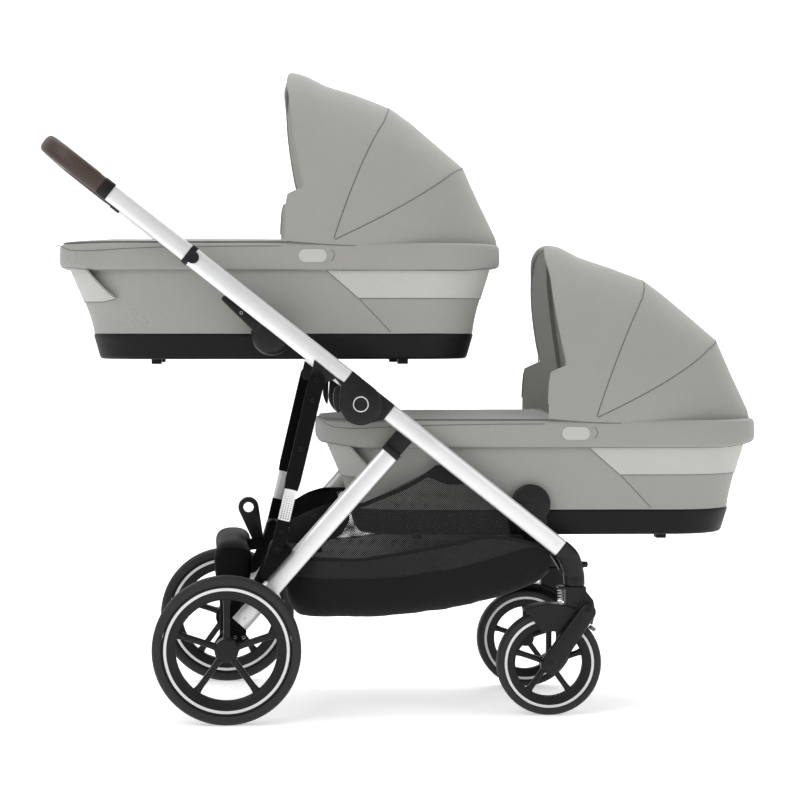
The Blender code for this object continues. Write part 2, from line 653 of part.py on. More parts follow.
def make_rear_frame():
    way = (Vector(LEG_FOOT) - Vector(LEG_PIVOT)).normalized()
    angle = math.degrees(math.atan2(way.y, way.x))
    start = Vector(LEG_PIVOT) + way * (SLEEVE_LENGTH + GAP)
    bridge_parts = []
    for label, side in SIDES.items():
        node(f"rear_leg_{label}",
             side_tube("rear_leg", start, LEG_FOOT, side * FRONT_TUBE_Y, LEG_H, LEG_W),
             "rear_frame", "aluminium")

        lug_face = FRONT_TUBE_Y - FRONT_TUBE_W / 2 - GAP
        sleeve_end = Vector(LEG_PIVOT) + way * SLEEVE_LENGTH
        sleeve_mid = Vector(LEG_PIVOT) + way * SLEEVE_SOLID
        lug = hull(arc(LEG_PIVOT, LEG_H / 2 - 0.0005, 0, 360, 24) + tube_corners(sleeve_end, angle, LEG_H - 0.001))
        block = hull(tube_corners(sleeve_mid, angle, LEG_H) + tube_corners(sleeve_end, angle, LEG_H))
        sleeve = union(
            plate("lug", lug, side * (lug_face - LUG_THICK), side * lug_face, 0.0010),
            plate("block", block, side * (lug_face - 0.5 * LUG_THICK), side * (FRONT_TUBE_Y + LEG_W / 2), 0.0015),
        )
        node(f"leg_sleeve_{label}", sleeve, "rear_frame", "black_plastic")

        # housing between leg foot and axle, with the stub axle
        foot = Vector(LEG_FOOT) + way * GAP
        housing = hull(arc(REAR_AXLE, 0.0250, 0, 360, 18) + tube_corners(foot, angle, LEG_H)
                       + [(-0.3090, 0.1600)])
        inner_face, outer_face = HINGE_INNER_FACE, HINGE_MIDDLE
        bridge_parts.append(plate("housing", housing, side * inner_face, side * outer_face, 0.0020))
        hub_side = REAR_WHEEL_Y - 0.0285
        bridge_parts.append(rod("boss", (REAR_AXLE[0], side * (HINGE_INNER_FACE - 0.0265), REAR_AXLE[1]),
                                (REAR_AXLE[0], side * (hub_side - GAP), REAR_AXLE[1]), 0.0180, 14))
        bridge_parts.append(rod("axle", (REAR_AXLE[0], side * (HINGE_INNER_FACE - 0.0045), REAR_AXLE[1]),
                                (REAR_AXLE[0], side * (REAR_WHEEL_Y + 0.0120), REAR_AXLE[1]), AXLE_RADIUS, 12))
        # gusset inside the leg and the lug for the strut on top of it
        gusset = hull([(-0.3480, 0.2500), (-0.3000, 0.2440), (-0.2740, 0.2570), (-0.2150, 0.3280),
                       (-0.2260, 0.3400), (-0.2600, 0.3455), (-0.3300, 0.3230)])
        bridge_parts.append(plate("gusset", gusset, side * (HINGE_INNER_FACE - 0.0245), side * (HINGE_INNER_FACE - 0.0002), 0.0020))
        normal = direction(angle - 90)
        if normal.y < 0:
            normal = -normal
        edge = LEG_H / 2 + GAP
        low_a = Vector(LEG_FOOT) - way * 0.0980 + normal * edge
        low_b = Vector(LEG_FOOT) - way * 0.1780 + normal * edge
        lug = hull([low_a, low_b, low_a + normal * 0.0120] + arc(STRUT_FOOT, 0.0140, 0, 360, 14))
        bridge_parts.append(plate("strut_lug", lug, side * (HINGE_INNER_FACE - 0.0195), side * (STRUT_INNER_FACE - GAP), 0.0015))

    arch = [(BRIDGE_ARM_Y, REAR_AXLE[1] - 0.010, 0.030, 0.024), (BRIDGE_ARM_Y, 0.2000, 0.036, 0.024),
            (BRIDGE_ARM_Y - 0.002, 0.2500, 0.046, 0.024), (BRIDGE_ARM_Y - 0.0155, 0.2850, 0.050, 0.030),
            (BRIDGE_ARM_Y - 0.0565, 0.3060, 0.050, 0.040), (BRIDGE_ARM_Y - 0.1315, 0.3150, 0.052, 0.046), (0.0, BRIDGE_CREST, 0.054, 0.048)]
    stations = arch + [(-y, z, w, t) for y, z, w, t in reversed(arch[:-1])]
    rings = []
    for i, (y, z, wide, thick) in enumerate(stations):
        a, b = stations[max(0, i - 1)], stations[min(len(stations) - 1, i + 1)]
        heading = Vector((0, b[0] - a[0], b[1] - a[1])).normalized()
        x = between(REAR_AXLE[0], BRIDGE_X, min(1.0, (z - REAR_AXLE[1]) / 0.12))
        rings.append(oval((x, y, z), (1, 0, 0), heading.cross(Vector((1, 0, 0))), wide, thick, 14, 2.4))
    bridge = loft("bridge", rings)
    for side in SIDES.values():
        ear = hull(arc(PEDAL_PIVOT, 0.0110, 0, 360, 16) + [(-0.3200, 0.3100), (-0.3180, 0.3320)])
        bridge_parts.append(plate("ear", ear, side * (PEDAL_HALF + GAP), side * (PEDAL_HALF + 0.0060)))
    node("rear_bridge", union(bridge, *bridge_parts), "rear_frame", "black_plastic")

    stem = link_outline(PEDAL_PIVOT, 0.0100, (-0.2925, 0.3780), 0.0100, 8)
    pedal = union(
        plate("pedal", [Vector(p) for p in arc(PEDAL_EYE, PEDAL_EYE_RADIUS, 0, 340, 17)],
              -PEDAL_HALF + 0.0005, PEDAL_HALF - 0.0005, 0.0020),
        plate("stem", stem, -PEDAL_HALF, PEDAL_HALF, 0.0015),
    )
    hole = rod("hole", (PEDAL_EYE[0], -0.03, PEDAL_EYE[1]), (PEDAL_EYE[0], 0.03, PEDAL_EYE[1]), PEDAL_HOLE, 14)
    node("brake_pedal", cut(pedal, hole), "pedal", "black_plastic")


def make_struts():
    top, foot = Vector(STRUT_TOP), Vector(STRUT_FOOT)
    way = (foot - top).normalized()
    across = Vector((-way.y, 0, way.x))
    for label, side in SIDES.items():
        y = side * (STRUT_INNER_FACE + STRUT_THICK / 2)
        end = top + way * SLEEVE_TUBE_LENGTH
        shape = hull(arc(top, SLEEVE_TUBE_H / 2, 0, 360, 28)
                     + tube_corners(end - way * 0.0200, math.degrees(math.atan2(way.y, way.x)), SLEEVE_TUBE_H - 0.001)
                     + tube_corners(end, math.degrees(math.atan2(way.y, way.x)), SLEEVE_TUBE_H - 0.004))
        sleeve = plate("strut_sleeve", shape, side * STRUT_INNER_FACE, side * (STRUT_INNER_FACE + STRUT_THICK), 0.0030)
        bore = loft("bore", [
            oval((p.x, y, p.y), across, (0, 1, 0), ROD_H + 2 * GAP, ROD_W + 2 * GAP, 16, 3.0)
            for p in (top + way * 0.0400, end + way * 0.0200)
        ])
        node(f"strut_sleeve_{label}", cut(sleeve, bore), f"strut_sleeve_{label}", "black_plastic")

        total = (foot - top).length
        steps = [(SLEEVE_TUBE_LENGTH - ROD_INSERT, ROD_H, ROD_W), (total - ROD_END_LENGTH, ROD_H, ROD_W),
                 (total - ROD_END_LENGTH, ROD_H + 0.0010, ROD_END_W), (total + 0.0040, ROD_H + 0.0010, ROD_END_W),
                 (total + 0.0100, ROD_H - 0.0060, ROD_END_W - 0.0010)]
        rings = []
        for s, height, width in steps:
            p = top + way * s
            rings.append(oval((p.x, y, p.y), across, (0, 1, 0), height, width, 16, 3.0))
        node(f"strut_rod_{label}", loft("strut_rod", rings), f"strut_rod_{label}", "aluminium")


def tyre_profile(radius, bore, half):
    wall = radius - bore
    right = [(bore, half * 0.86), (bore + 0.62 * wall, half), (radius, half * TREAD_FLAT)]
    return [(r, -y) for r, y in right] + right[::-1]


def make_wheel(kind, label, side, centre, y_mid, radius, width, tyre_bore, rim_bore, hub, sides, hub_faces):
    half = width / 2
    tyre = tyre_profile(radius, tyre_bore, half)
    body_name = f"{kind}_wheel_{label}"
    node(f"{kind}_tyre_{label}", turned("tyre", tyre, centre, side * y_mid, side, sides), body_name, "tyre_rubber")

    seat = tyre_bore - GAP
    deep = half * 0.66
    rim = [(rim_bore, -deep * 0.62), (seat, -deep), (seat, deep), (rim_bore, deep * 0.62)]
    ring = turned("rim", rim, centre, side * y_mid, side, sides)
    inner, outer = hub_faces
    barrel = loft("hub", [
        [Vector((centre[0] + r * math.cos(a), side * y, centre[1] + r * math.sin(a)))
         for a in [2 * math.pi * (i + 0.37) / 12 for i in range(12)]]
        for y, r in ((inner, hub * 0.80), (inner + 0.003, hub), (outer - 0.004, hub), (outer, hub * 0.78))
    ])
    spokes = []
    for k in range(SPOKES):
        out = direction(90 + 360 * k / SPOKES)
        across = Vector((-out.y, 0, out.x))
        rings = []
        for reach, wide in ((hub * 0.5, 0.105), (hub * 1.3, 0.088), (rim_bore * 1.03, 0.085)):
            p = Vector(centre) + out * reach
            rings.append(oval((p.x, side * (y_mid + 0.002), p.y), across, (0, 1, 0), wide * radius * 1.15,
                              deep * 0.95, 6, 2.4))
        spokes.append(loft("spoke", rings))
    bore = rod("bore", (centre[0], side * (inner - 0.01), centre[1]),
               (centre[0], side * (outer - 0.0080), centre[1]), AXLE_RADIUS + GAP, 12)
    wheel = cut(union(ring, barrel, *spokes, solver="MANIFOLD"), bore, solver="MANIFOLD")
    node(f"{kind}_rim_{label}", wheel, body_name, "black_plastic")


def coil(name, centre, low, high):
    """One unbroken wire wound about a vertical axis. Prints its least gap to itself."""
    count = SPRING_TURNS * SPRING_POINTS
    line, rings = [], []
    for i in range(count + 1):
        a = 2 * math.pi * i / SPRING_POINTS
        z = between(low + 1.2 * SPRING_WIRE, high - 1.2 * SPRING_WIRE, i / count)
        out = Vector((math.cos(a), math.sin(a), 0))
        line.append(Vector((*centre, z)) + out * SPRING_RADIUS)
        rings.append([line[-1] + (out * math.cos(b) + Vector((0, 0, 1)) * math.sin(b)) * SPRING_WIRE
                      for b in (2 * math.pi * k / 5 for k in range(5))])
    least = min((line[i] - line[j]).length for i in range(count + 1)
                for j in range(i + SPRING_POINTS // 2, count + 1)) - 2 * SPRING_WIRE
    print(f"{name}: least gap to itself {1000 * least:.2f} mm")
    return loft(name, rings)


def make_casters():
    clear = FRONT_RADIUS + GUARD_GAP
    arm_face = CASTER_Y + FRONT_TYRE_W / 2 + 0.0040
    for label, side in SIDES.items():
        y = side * CASTER_Y
        top = SWIVEL_SPLIT - GAP
        block = [Vector(p) for p in ((0.3110, top), (0.3110, top - 0.0050), (0.3255, top - 0.0050),
                                     (0.3265, 0.2200))]
        block += arc(FRONT_AXLE, clear - 0.0030, 72, 44, 6)
        block += [Vector(p) for p in ((0.3790, 0.1790), (0.3850, 0.2060), (0.3810, 0.2290), (0.3665, 0.2470),
                                      (0.3660, top))]
        fork = plate("fork", block, y - FORK_HALF_WIDTH, y + FORK_HALF_WIDTH, 0.0020)
        pivot = rod("pivot", (ARM_PIVOT[0], y, ARM_PIVOT[1]),
                    (ARM_PIVOT[0], side * (arm_face - GAP), ARM_PIVOT[1]), 0.0150, 14)
        guard_outline = (arc(FRONT_AXLE, clear + GUARD_THICK, GUARD_FROM, GUARD_TO, 9)
                         + arc(FRONT_AXLE, clear, GUARD_TO, GUARD_FROM, 9))
        guard = plate("guard", guard_outline, y - GUARD_HALF_WIDTH, y + GUARD_HALF_WIDTH)
        cheek_outline = (arc(FRONT_AXLE, clear + GUARD_THICK - 0.0003, GUARD_FROM + 1, GUARD_TO - 1, 9)
                         + arc(FRONT_AXLE, CHEEK_INNER, GUARD_TO - 12, GUARD_FROM + 8, 8))
        cheek_y = CASTER_Y + FRONT_TYRE_W / 2 + 0.0012
        cheek = plate("cheek", cheek_outline, side * cheek_y, side * (arm_face - GAP - 0.0002))
        node(f"fork_{label}", union(fork, pivot, guard, cheek), f"caster_{label}", "black_plastic")

        spring_low = FRONT_AXLE[1] + math.sqrt((clear + GUARD_THICK) ** 2 - (SPRING_CENTRE[0] - FRONT_AXLE[0]) ** 2)
        spring_top = top - 0.0050
        node(f"spring_{label}",
             coil(f"spring_{label}", (SPRING_CENTRE[0], y + side * SPRING_CENTRE[1]), spring_low + 0.0012,
                  spring_top - GAP),
             f"caster_{label}", "steel")

        arm = plate("arm", link_outline(ARM_PIVOT, ARM_TOP_RADIUS, FRONT_AXLE, ARM_FOOT_RADIUS),
                    side * arm_face, side * (arm_face + ARM_THICK), 0.0040)
        stub = rod("stub", (FRONT_AXLE[0], side * (CASTER_Y - 0.0080), FRONT_AXLE[1]),
                   (FRONT_AXLE[0], side * (arm_face + 0.004), FRONT_AXLE[1]), AXLE_RADIUS, 12)
        node(f"swing_arm_{label}", union(arm, stub), f"arm_{label}", "black_plastic")


def make_wheels():
    arm_face = CASTER_Y + FRONT_TYRE_W / 2 + 0.0040
    for label, side in SIDES.items():
        make_wheel("rear", label, side, REAR_AXLE, REAR_WHEEL_Y, REAR_RADIUS, REAR_TYRE_W, REAR_TYRE_BORE,
                   REAR_RIM_BORE, REAR_HUB_RADIUS, REAR_SIDES, (REAR_WHEEL_Y - 0.0285, REAR_WHEEL_Y + 0.0200))
        # the front hub is open towards the swing arm, so its faces are given from the arm's side
        make_front_wheel(label, side, arm_face)


def make_front_wheel(label, side, arm_face):
    """Front wheel: like the rear one, with its hub running on the swing arm's stub from outside."""
    half = FRONT_TYRE_W / 2
    tyre = tyre_profile(FRONT_RADIUS, FRONT_TYRE_BORE, half)
    body_name = f"front_wheel_{label}"
    node(f"front_tyre_{label}", turned("tyre", tyre, FRONT_AXLE, side * CASTER_Y, side, FRONT_SIDES),
         body_name, "tyre_rubber")
    seat = FRONT_TYRE_BORE - GAP
    deep = half * 0.66
    rim = [(FRONT_RIM_BORE, -deep * 0.62), (seat, -deep), (seat, deep), (FRONT_RIM_BORE, deep * 0.62)]
    ring = turned("rim", rim, FRONT_AXLE, side * CASTER_Y, side, FRONT_SIDES)
    inner, outer = CASTER_Y - 0.0160, arm_face - GAP
    barrel = loft("hub", [
        [Vector((FRONT_AXLE[0] + r * math.cos(a), side * y, FRONT_AXLE[1] + r * math.sin(a)))
         for a in [2 * math.pi * (i + 0.37) / 12 for i in range(12)]]
        for y, r in ((inner, FRONT_HUB_RADIUS * 0.8), (inner + 0.003, FRONT_HUB_RADIUS),
                     (outer - 0.003, FRONT_HUB_RADIUS), (outer, FRONT_HUB_RADIUS * 0.9))
    ])
    spokes = []
    for k in range(SPOKES):
        out = direction(90 + 360 * k / SPOKES)
        across = Vector((-out.y, 0, out.x))
        rings = []
        for reach, wide in ((0.5, 0.0125), (1.3, 0.0110), (3.74, 0.0115)):
            p = Vector(FRONT_AXLE) + out * (FRONT_HUB_RADIUS * reach)
            rings.append(oval((p.x, side * (CASTER_Y - 0.002), p.y), across, (0, 1, 0), wide, deep * 0.95, 6, 2.4))
        spokes.append(loft("spoke", rings))
    bore = rod("bore", (FRONT_AXLE[0], side * (CASTER_Y - 0.0090), FRONT_AXLE[1]),
               (FRONT_AXLE[0], side * (outer + 0.01), FRONT_AXLE[1]), AXLE_RADIUS + GAP, 12)
    wheel = cut(union(ring, barrel, *spokes, solver="MANIFOLD"), bore, solver="MANIFOLD")
    node(f"front_rim_{label}", wheel, body_name, "black_plastic")


def make_adapters():
    tube_face = UPPER_TUBE_Y - UPPER_TUBE_W / 2 - GAP
    way = direction(TUBE_ANGLE)
    for label, side in SIDES.items():
        disc = plate("disc", arc(UPPER_ADAPTER, ADAPTER_RADIUS, 0, 345, 23),
                     side * (BOSS_FACE + GAP), side * tube_face, 0.0030)
        lever_start = Vector(UPPER_ADAPTER) + way * 0.030 + direction(TUBE_ANGLE + 90) * 0.0060
        lever_end = Vector(UPPER_ADAPTER) + way * 0.1150 + direction(TUBE_ANGLE + 90) * 0.0020
        lever = plate("lever", link_outline(lever_start, 0.0110, lever_end, 0.0060, 8),
                      side * (tube_face - 0.0200), side * (tube_face - 0.0010), 0.0020)
        node(f"upper_adapter_{label}", union(disc, lever), "upper_adapters", "black_plastic")
        disc = plate("disc", arc(LOWER_ADAPTER, ADAPTER_RADIUS - 0.0015, 0, 345, 23),
                     side * (BOSS_FACE + GAP), side * LOWER_ADAPTER_FACE, 0.0015)
        # foot that lies along the inner face of the front tube
        foot = [(0.2270, 0.3930), (0.2700, 0.3600), (0.2890, 0.3840), (0.2780, 0.4200), (0.2340, 0.4200)]
        foot_inner = [Vector((x, side * (BOSS_FACE + GAP + 0.0002), z)) for x, z in foot]
        foot_outer = [Vector((x, side * (front_tube_inner(x) - GAP), z)) for x, z in foot]
        node(f"lower_adapter_{label}", union(disc, loft("foot", [foot_inner, foot_outer])),
             "lower_adapters", "black_plastic")


# Carry cots

def arch_point(centre_x, centre_z, angle, radius, half, t):
    """A point on the hood's arch: t runs from 0 at the left pivot to 1 at the right one."""
    a = math.pi * t
    y = math.copysign(abs(math.cos(a)) ** (2 / HOOD_POWER), math.cos(a)) * half
    h = math.sin(a) ** (2 / HOOD_POWER) * radius if 0 < t < 1 else 0.0
    d = direction(angle)
    return Vector((centre_x + d.x * h, y, centre_z + d.y * h))


HOOD_RADII = [(0.3, 0.3400), (14.0, 0.3172), (29.5, 0.3135), (44.0, 0.2960), (57.0, 0.2965),
              (65.6, 0.3020), (80.0, 0.3070), (92.0, 0.3230), (101.0, 0.3540)]
HOOD_COLUMNS = 16
# front edge of the fabric: (height above the pivot, x from the pivot)
HOOD_EDGE = [(0.0, -0.095), (0.087, -0.090), (0.104, -0.059), (0.200, -0.076), (0.305, -0.087),
             (0.335, -0.087), (0.350, -0.068)]


def hood_columns():
    """Places round the arch, close together at the pivots, where the arch is steep."""
    half = [0.5 * (0.05 + 0.95 * k / (HOOD_COLUMNS // 2)) ** 1.5 for k in range(HOOD_COLUMNS // 2 + 1)]
    return half + [1 - t for t in reversed(half[:-1])]


def hood_grid(cx, cz, inset):
    px, pz = cx + HOOD_PIVOT[0], cz + HOOD_PIVOT[1]
    rows = []
    for angle, radius in HOOD_RADII:
        rows.append([arch_point(px, pz, angle, radius - inset, HOOD_HALF - inset, t) for t in hood_columns()])
    rows.append([Vector((min(px + lookup(HOOD_EDGE, p.z - pz), p.x - 0.001), p.y, p.z)) for p in rows[-1]])
    return rows


def make_bow(name, cx, cz, angle, radius, half, body_name):
    px, pz = cx + HOOD_PIVOT[0], cz + HOOD_PIVOT[1]
    out = Vector((direction(angle).x, 0, direction(angle).y))
    wide = Vector((direction(angle - 90).x, 0, direction(angle - 90).y))
    spots = [0.0] + hood_columns() + [1.0]
    count = len(spots) - 1
    centre_line = [arch_point(px, pz, angle, radius - BOW_THICK / 2, half - BOW_THICK / 2, t) for t in spots]
    centre_line = [centre_line[0] - out * BOW_TAIL] + centre_line[1:-1] + [centre_line[-1] - out * BOW_TAIL]
    rings = []
    for i, p in enumerate(centre_line):
        heading = (centre_line[min(count, i + 1)] - centre_line[max(0, i - 1)]).normalized()
        inward = wide.cross(heading)
        corners = [(-1, -1), (1, -1), (1, 1), (-1, 1)]
        rings.append([p + wide * (a * BOW_WIDE / 2) + inward * (b * BOW_THICK / 2) for a, b in corners])
    node(name, loft(name, rings), body_name, "black_plastic")


def make_cot(kind, place):
    cx, cz = place

    def ring(rear, front, half, corner, z):
        return rounded_ring(cx + rear, cx + front, half, corner, cz + z)

    tub = loft("tub", [
        ring(TRAY_REAR + 0.001, TRAY_FRONT - 0.001, TRAY_HALF - 0.0005, RIM_CORNER - 0.02, TRAY_TOP + GAP),
        ring(between(TRAY_REAR, BODY_REAR, 0.44), between(TRAY_FRONT, BODY_FRONT, 0.44),
             between(TRAY_HALF, BODY_HALF, 0.56), RIM_CORNER - 0.01, between(TRAY_TOP, RIM_FOOT, 0.52)),
        ring(BODY_REAR, BODY_FRONT, BODY_HALF, RIM_CORNER, RIM_FOOT),
        ring(RIM_REAR + 0.008, RIM_FRONT - 0.003, RIM_HALF - 0.006, RIM_CORNER, RIM_FOOT + 0.001),
        ring(RIM_REAR, RIM_FRONT, RIM_HALF, RIM_CORNER, RIM_FOOT + 0.010),
        ring(RIM_REAR, RIM_FRONT, RIM_HALF, RIM_CORNER, RIM_TOP - 0.012),
        ring(RIM_REAR + 0.0025, RIM_FRONT - 0.0025, RIM_HALF - 0.0025, RIM_CORNER, RIM_TOP - 0.003),
        ring(RIM_REAR + 0.009, RIM_FRONT - 0.009, RIM_HALF - 0.009, RIM_CORNER, RIM_TOP),
        ring(RIM_REAR + 0.025, RIM_FRONT - 0.025, RIM_HALF - 0.025, RIM_CORNER - 0.01, RIM_TOP),
        ring(BODY_REAR + TUB_WALL, BODY_FRONT - TUB_WALL, BODY_HALF - TUB_WALL, RIM_CORNER - 0.01, RIM_FOOT),
        ring(TRAY_REAR + TUB_WALL, TRAY_FRONT - TUB_WALL, TRAY_HALF - TUB_WALL, RIM_CORNER - 0.03,
             TRAY_TOP + TUB_FLOOR),
    ])
    node(f"{kind}_cot_tub", tub, f"{kind}_cot", "grey_fabric")

    tray = loft("tray", [
        ring(TRAY_REAR + TRAY_TAPER + 0.004, TRAY_FRONT - TRAY_TAPER - 0.004, TRAY_HALF - TRAY_TAPER - 0.004,
             RIM_CORNER - 0.04, TRAY_FOOT),
        ring(TRAY_REAR + TRAY_TAPER, TRAY_FRONT - TRAY_TAPER, TRAY_HALF - TRAY_TAPER, RIM_CORNER - 0.03,
             TRAY_FOOT + 0.004),
        ring(TRAY_REAR, TRAY_FRONT, TRAY_HALF, RIM_CORNER - 0.02, TRAY_TOP - 0.005),
        ring(TRAY_REAR + 0.001, TRAY_FRONT - 0.001, TRAY_HALF - 0.001, RIM_CORNER - 0.02, TRAY_TOP),
    ])
    extras = []
    for fx in FOOT_X:
        for side in SIDES.values():
            extras.append(box("foot", (cx + fx - 0.010, side * FOOT_Y - 0.016, cz),
                              (cx + fx + 0.010, side * FOOT_Y + 0.016, cz + TRAY_FOOT + 0.006)))
    for side in SIDES.values():
        y0, y1 = sorted((side * (TRAY_HALF - 0.030), side * BOSS_FACE))
        extras.append(box("boss", (cx + BOSS_X - BOSS_HALF, y0, cz + 0.0240),
                          (cx + BOSS_X + BOSS_HALF, y1, cz + TRAY_TOP - 0.0030)))
    node(f"{kind}_cot_base", union(tray, *extras), f"{kind}_cot", "black_plastic")

    rear, front = TRAY_REAR + TUB_WALL + MATTRESS_INSET, TRAY_FRONT - TUB_WALL - MATTRESS_INSET
    half = TRAY_HALF - TUB_WALL - MATTRESS_INSET
    low = TRAY_TOP + TUB_FLOOR + GAP
    rings = []
    for share, inset in ((0.0, 0.014), (0.15, 0.0), (0.68, 0.0), (0.88, 0.014), (0.96, 0.050), (1.0, 0.120)):
        rings.append(ring(rear + inset, front - inset, half - inset, max(0.02, RIM_CORNER - 0.05 - inset),
                          low + share * MATTRESS_THICK))
    node(f"{kind}_mattress", loft("mattress", rings), f"{kind}_cot", "white_fabric")

    # apron over the foot end, slightly domed
    apron_rear, apron_half = RIM_REAR + 0.008, RIM_HALF - 0.008
    outer, under = [], []
    corner = RIM_CORNER - 0.008
    for i in range(9):
        share = 1 - math.cos(math.pi / 2 * i / 8)
        x = between(apron_rear, APRON_FRONT, share)
        inside = max(0.0, apron_rear + corner - x)
        width = apron_half - corner + math.sqrt(max(0.0, corner ** 2 - inside ** 2))
        row_a, row_b = [], []
        for j in range(7):
            v = -1 + j / 3
            rise = APRON_DOME * (1 - v * v) * min(1.0, (x - apron_rear) / 0.10)
            rise += 0.002 * (1 - v * v)
            z = cz + RIM_TOP + GAP + rise
            row_a.append(Vector((cx + x, v * width, z + APRON_THICK)))
            row_b.append(Vector((cx + x, v * width, z)))
        outer.append(row_a)
        under.append(row_b)
    node(f"{kind}_apron", slab("apron", outer, under), f"{kind}_cot", "grey_fabric")

    node(f"{kind}_hood_fabric", slab("hood", hood_grid(cx, cz, 0.0), hood_grid(cx, cz, HOOD_THICK)),
         f"{kind}_cot", "grey_fabric")
    inside = HOOD_THICK + GAP + 0.0003
    make_bow(f"{kind}_hood_front_bow", cx, cz, FRONT_BOW_ANGLE - 1.2, HOOD_RADII[-1][1] - inside - 0.0075,
             HOOD_HALF - inside, f"{kind}_hood_front")
    make_bow(f"{kind}_hood_middle_bow", cx, cz, MIDDLE_BOW_ANGLE, lookup(HOOD_RADII, MIDDLE_BOW_ANGLE) - inside - 0.0006,
             HOOD_HALF - inside - BOW_THICK - 0.0005, f"{kind}_hood_middle")


def make_bodies():
    top = Vector(UPPER_TUBE_END) + direction(TUBE_ANGLE) * UPPER_TUBE_LENGTH
    spot = Vector(UPPER_TUBE_END) + direction(TUBE_ANGLE) * (UPPER_TUBE_LENGTH - BUTTON_INSET)
    body("chassis", None, (0, 0, 0))
    body("upper_frame", "chassis", (HINGE[0], 0, HINGE[1]))
    body("handle", "upper_frame", (top.x, 0, top.y))
    body("rear_frame", "chassis", (LEG_PIVOT[0], 0, LEG_PIVOT[1]))
    body("pedal", "rear_frame", (PEDAL_PIVOT[0], 0, PEDAL_PIVOT[1]))
    body("upper_adapters", "chassis", (UPPER_ADAPTER[0], 0, UPPER_ADAPTER[1]))
    body("lower_adapters", "chassis", (LOWER_ADAPTER[0], 0, LOWER_ADAPTER[1]))
    for label, side in SIDES.items():
        strut_y = side * (STRUT_INNER_FACE + STRUT_THICK / 2)
        body(f"button_{label}", "upper_frame", (spot.x, side * UPPER_TUBE_Y, spot.y))
        body(f"trigger_{label}", "upper_frame", (-0.1300, side * (HINGE_MIDDLE + 0.0100), 0.6300))
        body(f"strut_sleeve_{label}", "upper_frame", (STRUT_TOP[0], strut_y, STRUT_TOP[1]))
        body(f"strut_rod_{label}", f"strut_sleeve_{label}", (STRUT_FOOT[0], strut_y, STRUT_FOOT[1]))
        body(f"rear_wheel_{label}", "rear_frame", (REAR_AXLE[0], side * REAR_WHEEL_Y, REAR_AXLE[1]))
        body(f"caster_{label}", "chassis", (SWIVEL_X, side * CASTER_Y, SWIVEL_SPLIT))
        body(f"arm_{label}", f"caster_{label}", (ARM_PIVOT[0], side * CASTER_Y, ARM_PIVOT[1]))
        body(f"front_wheel_{label}", f"arm_{label}", (FRONT_AXLE[0], side * CASTER_Y, FRONT_AXLE[1]))
    for kind, place in (("upper", UPPER_COT), ("lower", LOWER_COT)):
        body(f"{kind}_cot", f"{kind}_adapters", (place[0], 0, place[1]))
        pivot = (place[0] + HOOD_PIVOT[0], 0, place[1] + HOOD_PIVOT[1])
        body(f"{kind}_hood_front", f"{kind}_cot", pivot)
        body(f"{kind}_hood_middle", f"{kind}_cot", pivot)


def main():
    for obj in list(bpy.data.objects):
        bpy.data.objects.remove(obj, do_unlink=True)
    material("aluminium", (0.72, 0.72, 0.73), 0.32, 0.9)
    material("steel", (0.60, 0.60, 0.62), 0.30, 1.0)
    material("black_plastic", (0.020, 0.020, 0.022), 0.45)
    material("tyre_rubber", (0.016, 0.016, 0.017), 0.75)
    material("brown_leather", (0.060, 0.030, 0.018), 0.50)
    material("grey_fabric", (0.270, 0.265, 0.250), 0.90)
    material("white_fabric", (0.700, 0.690, 0.660), 0.90)
    material("black_fabric", (0.020, 0.020, 0.020), 0.90)
    make_bodies()
    make_front_frame()
    make_basket()
    top = make_upper_frame()
    make_handle(top)
    make_rear_frame()
    make_struts()
    make_casters()
    make_wheels()
    make_adapters()
    make_cot("upper", UPPER_COT)
    make_cot("lower", LOWER_COT)


main()
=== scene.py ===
# Looks for the twin pram with two carry cots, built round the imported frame.
# Metres, +Z up, +X towards the front wheels. The pusher's left is +Y; the photograph shows the right side.
import json
import math

import bmesh
import bpy
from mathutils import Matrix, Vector, noise
from mathutils.bvhtree import BVHTree


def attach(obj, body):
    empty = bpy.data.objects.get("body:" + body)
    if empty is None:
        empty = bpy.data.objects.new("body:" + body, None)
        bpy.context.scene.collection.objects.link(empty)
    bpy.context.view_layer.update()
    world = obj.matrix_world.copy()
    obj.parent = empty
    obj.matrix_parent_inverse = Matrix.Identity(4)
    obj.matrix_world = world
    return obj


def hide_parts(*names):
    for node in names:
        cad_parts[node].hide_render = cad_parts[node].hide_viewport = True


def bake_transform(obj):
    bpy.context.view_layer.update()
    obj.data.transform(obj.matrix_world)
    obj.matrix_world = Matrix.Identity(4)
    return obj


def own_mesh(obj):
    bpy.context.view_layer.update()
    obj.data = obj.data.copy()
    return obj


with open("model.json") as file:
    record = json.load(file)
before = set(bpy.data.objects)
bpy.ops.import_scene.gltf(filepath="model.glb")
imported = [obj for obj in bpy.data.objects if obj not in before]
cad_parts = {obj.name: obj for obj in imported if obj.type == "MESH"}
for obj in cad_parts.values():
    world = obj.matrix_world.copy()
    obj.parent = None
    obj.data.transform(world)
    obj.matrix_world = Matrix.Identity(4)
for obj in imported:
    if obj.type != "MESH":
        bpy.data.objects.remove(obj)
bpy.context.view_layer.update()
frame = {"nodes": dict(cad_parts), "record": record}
print("frame loaded")

sides = {"Left": 1.0, "Right": -1.0}
gap = 0.0003


def linked(name, data):
    obj = bpy.data.objects.new(name, data)
    bpy.context.scene.collection.objects.link(obj)
    return obj


# camera

camera = {"place": (-0.33, -4.85, 0.77), "lens": 106.2, "sensor": 36.0, "shiftX": 0.1,
          "tilt": 90 - 1.762, "turn": -2.075}


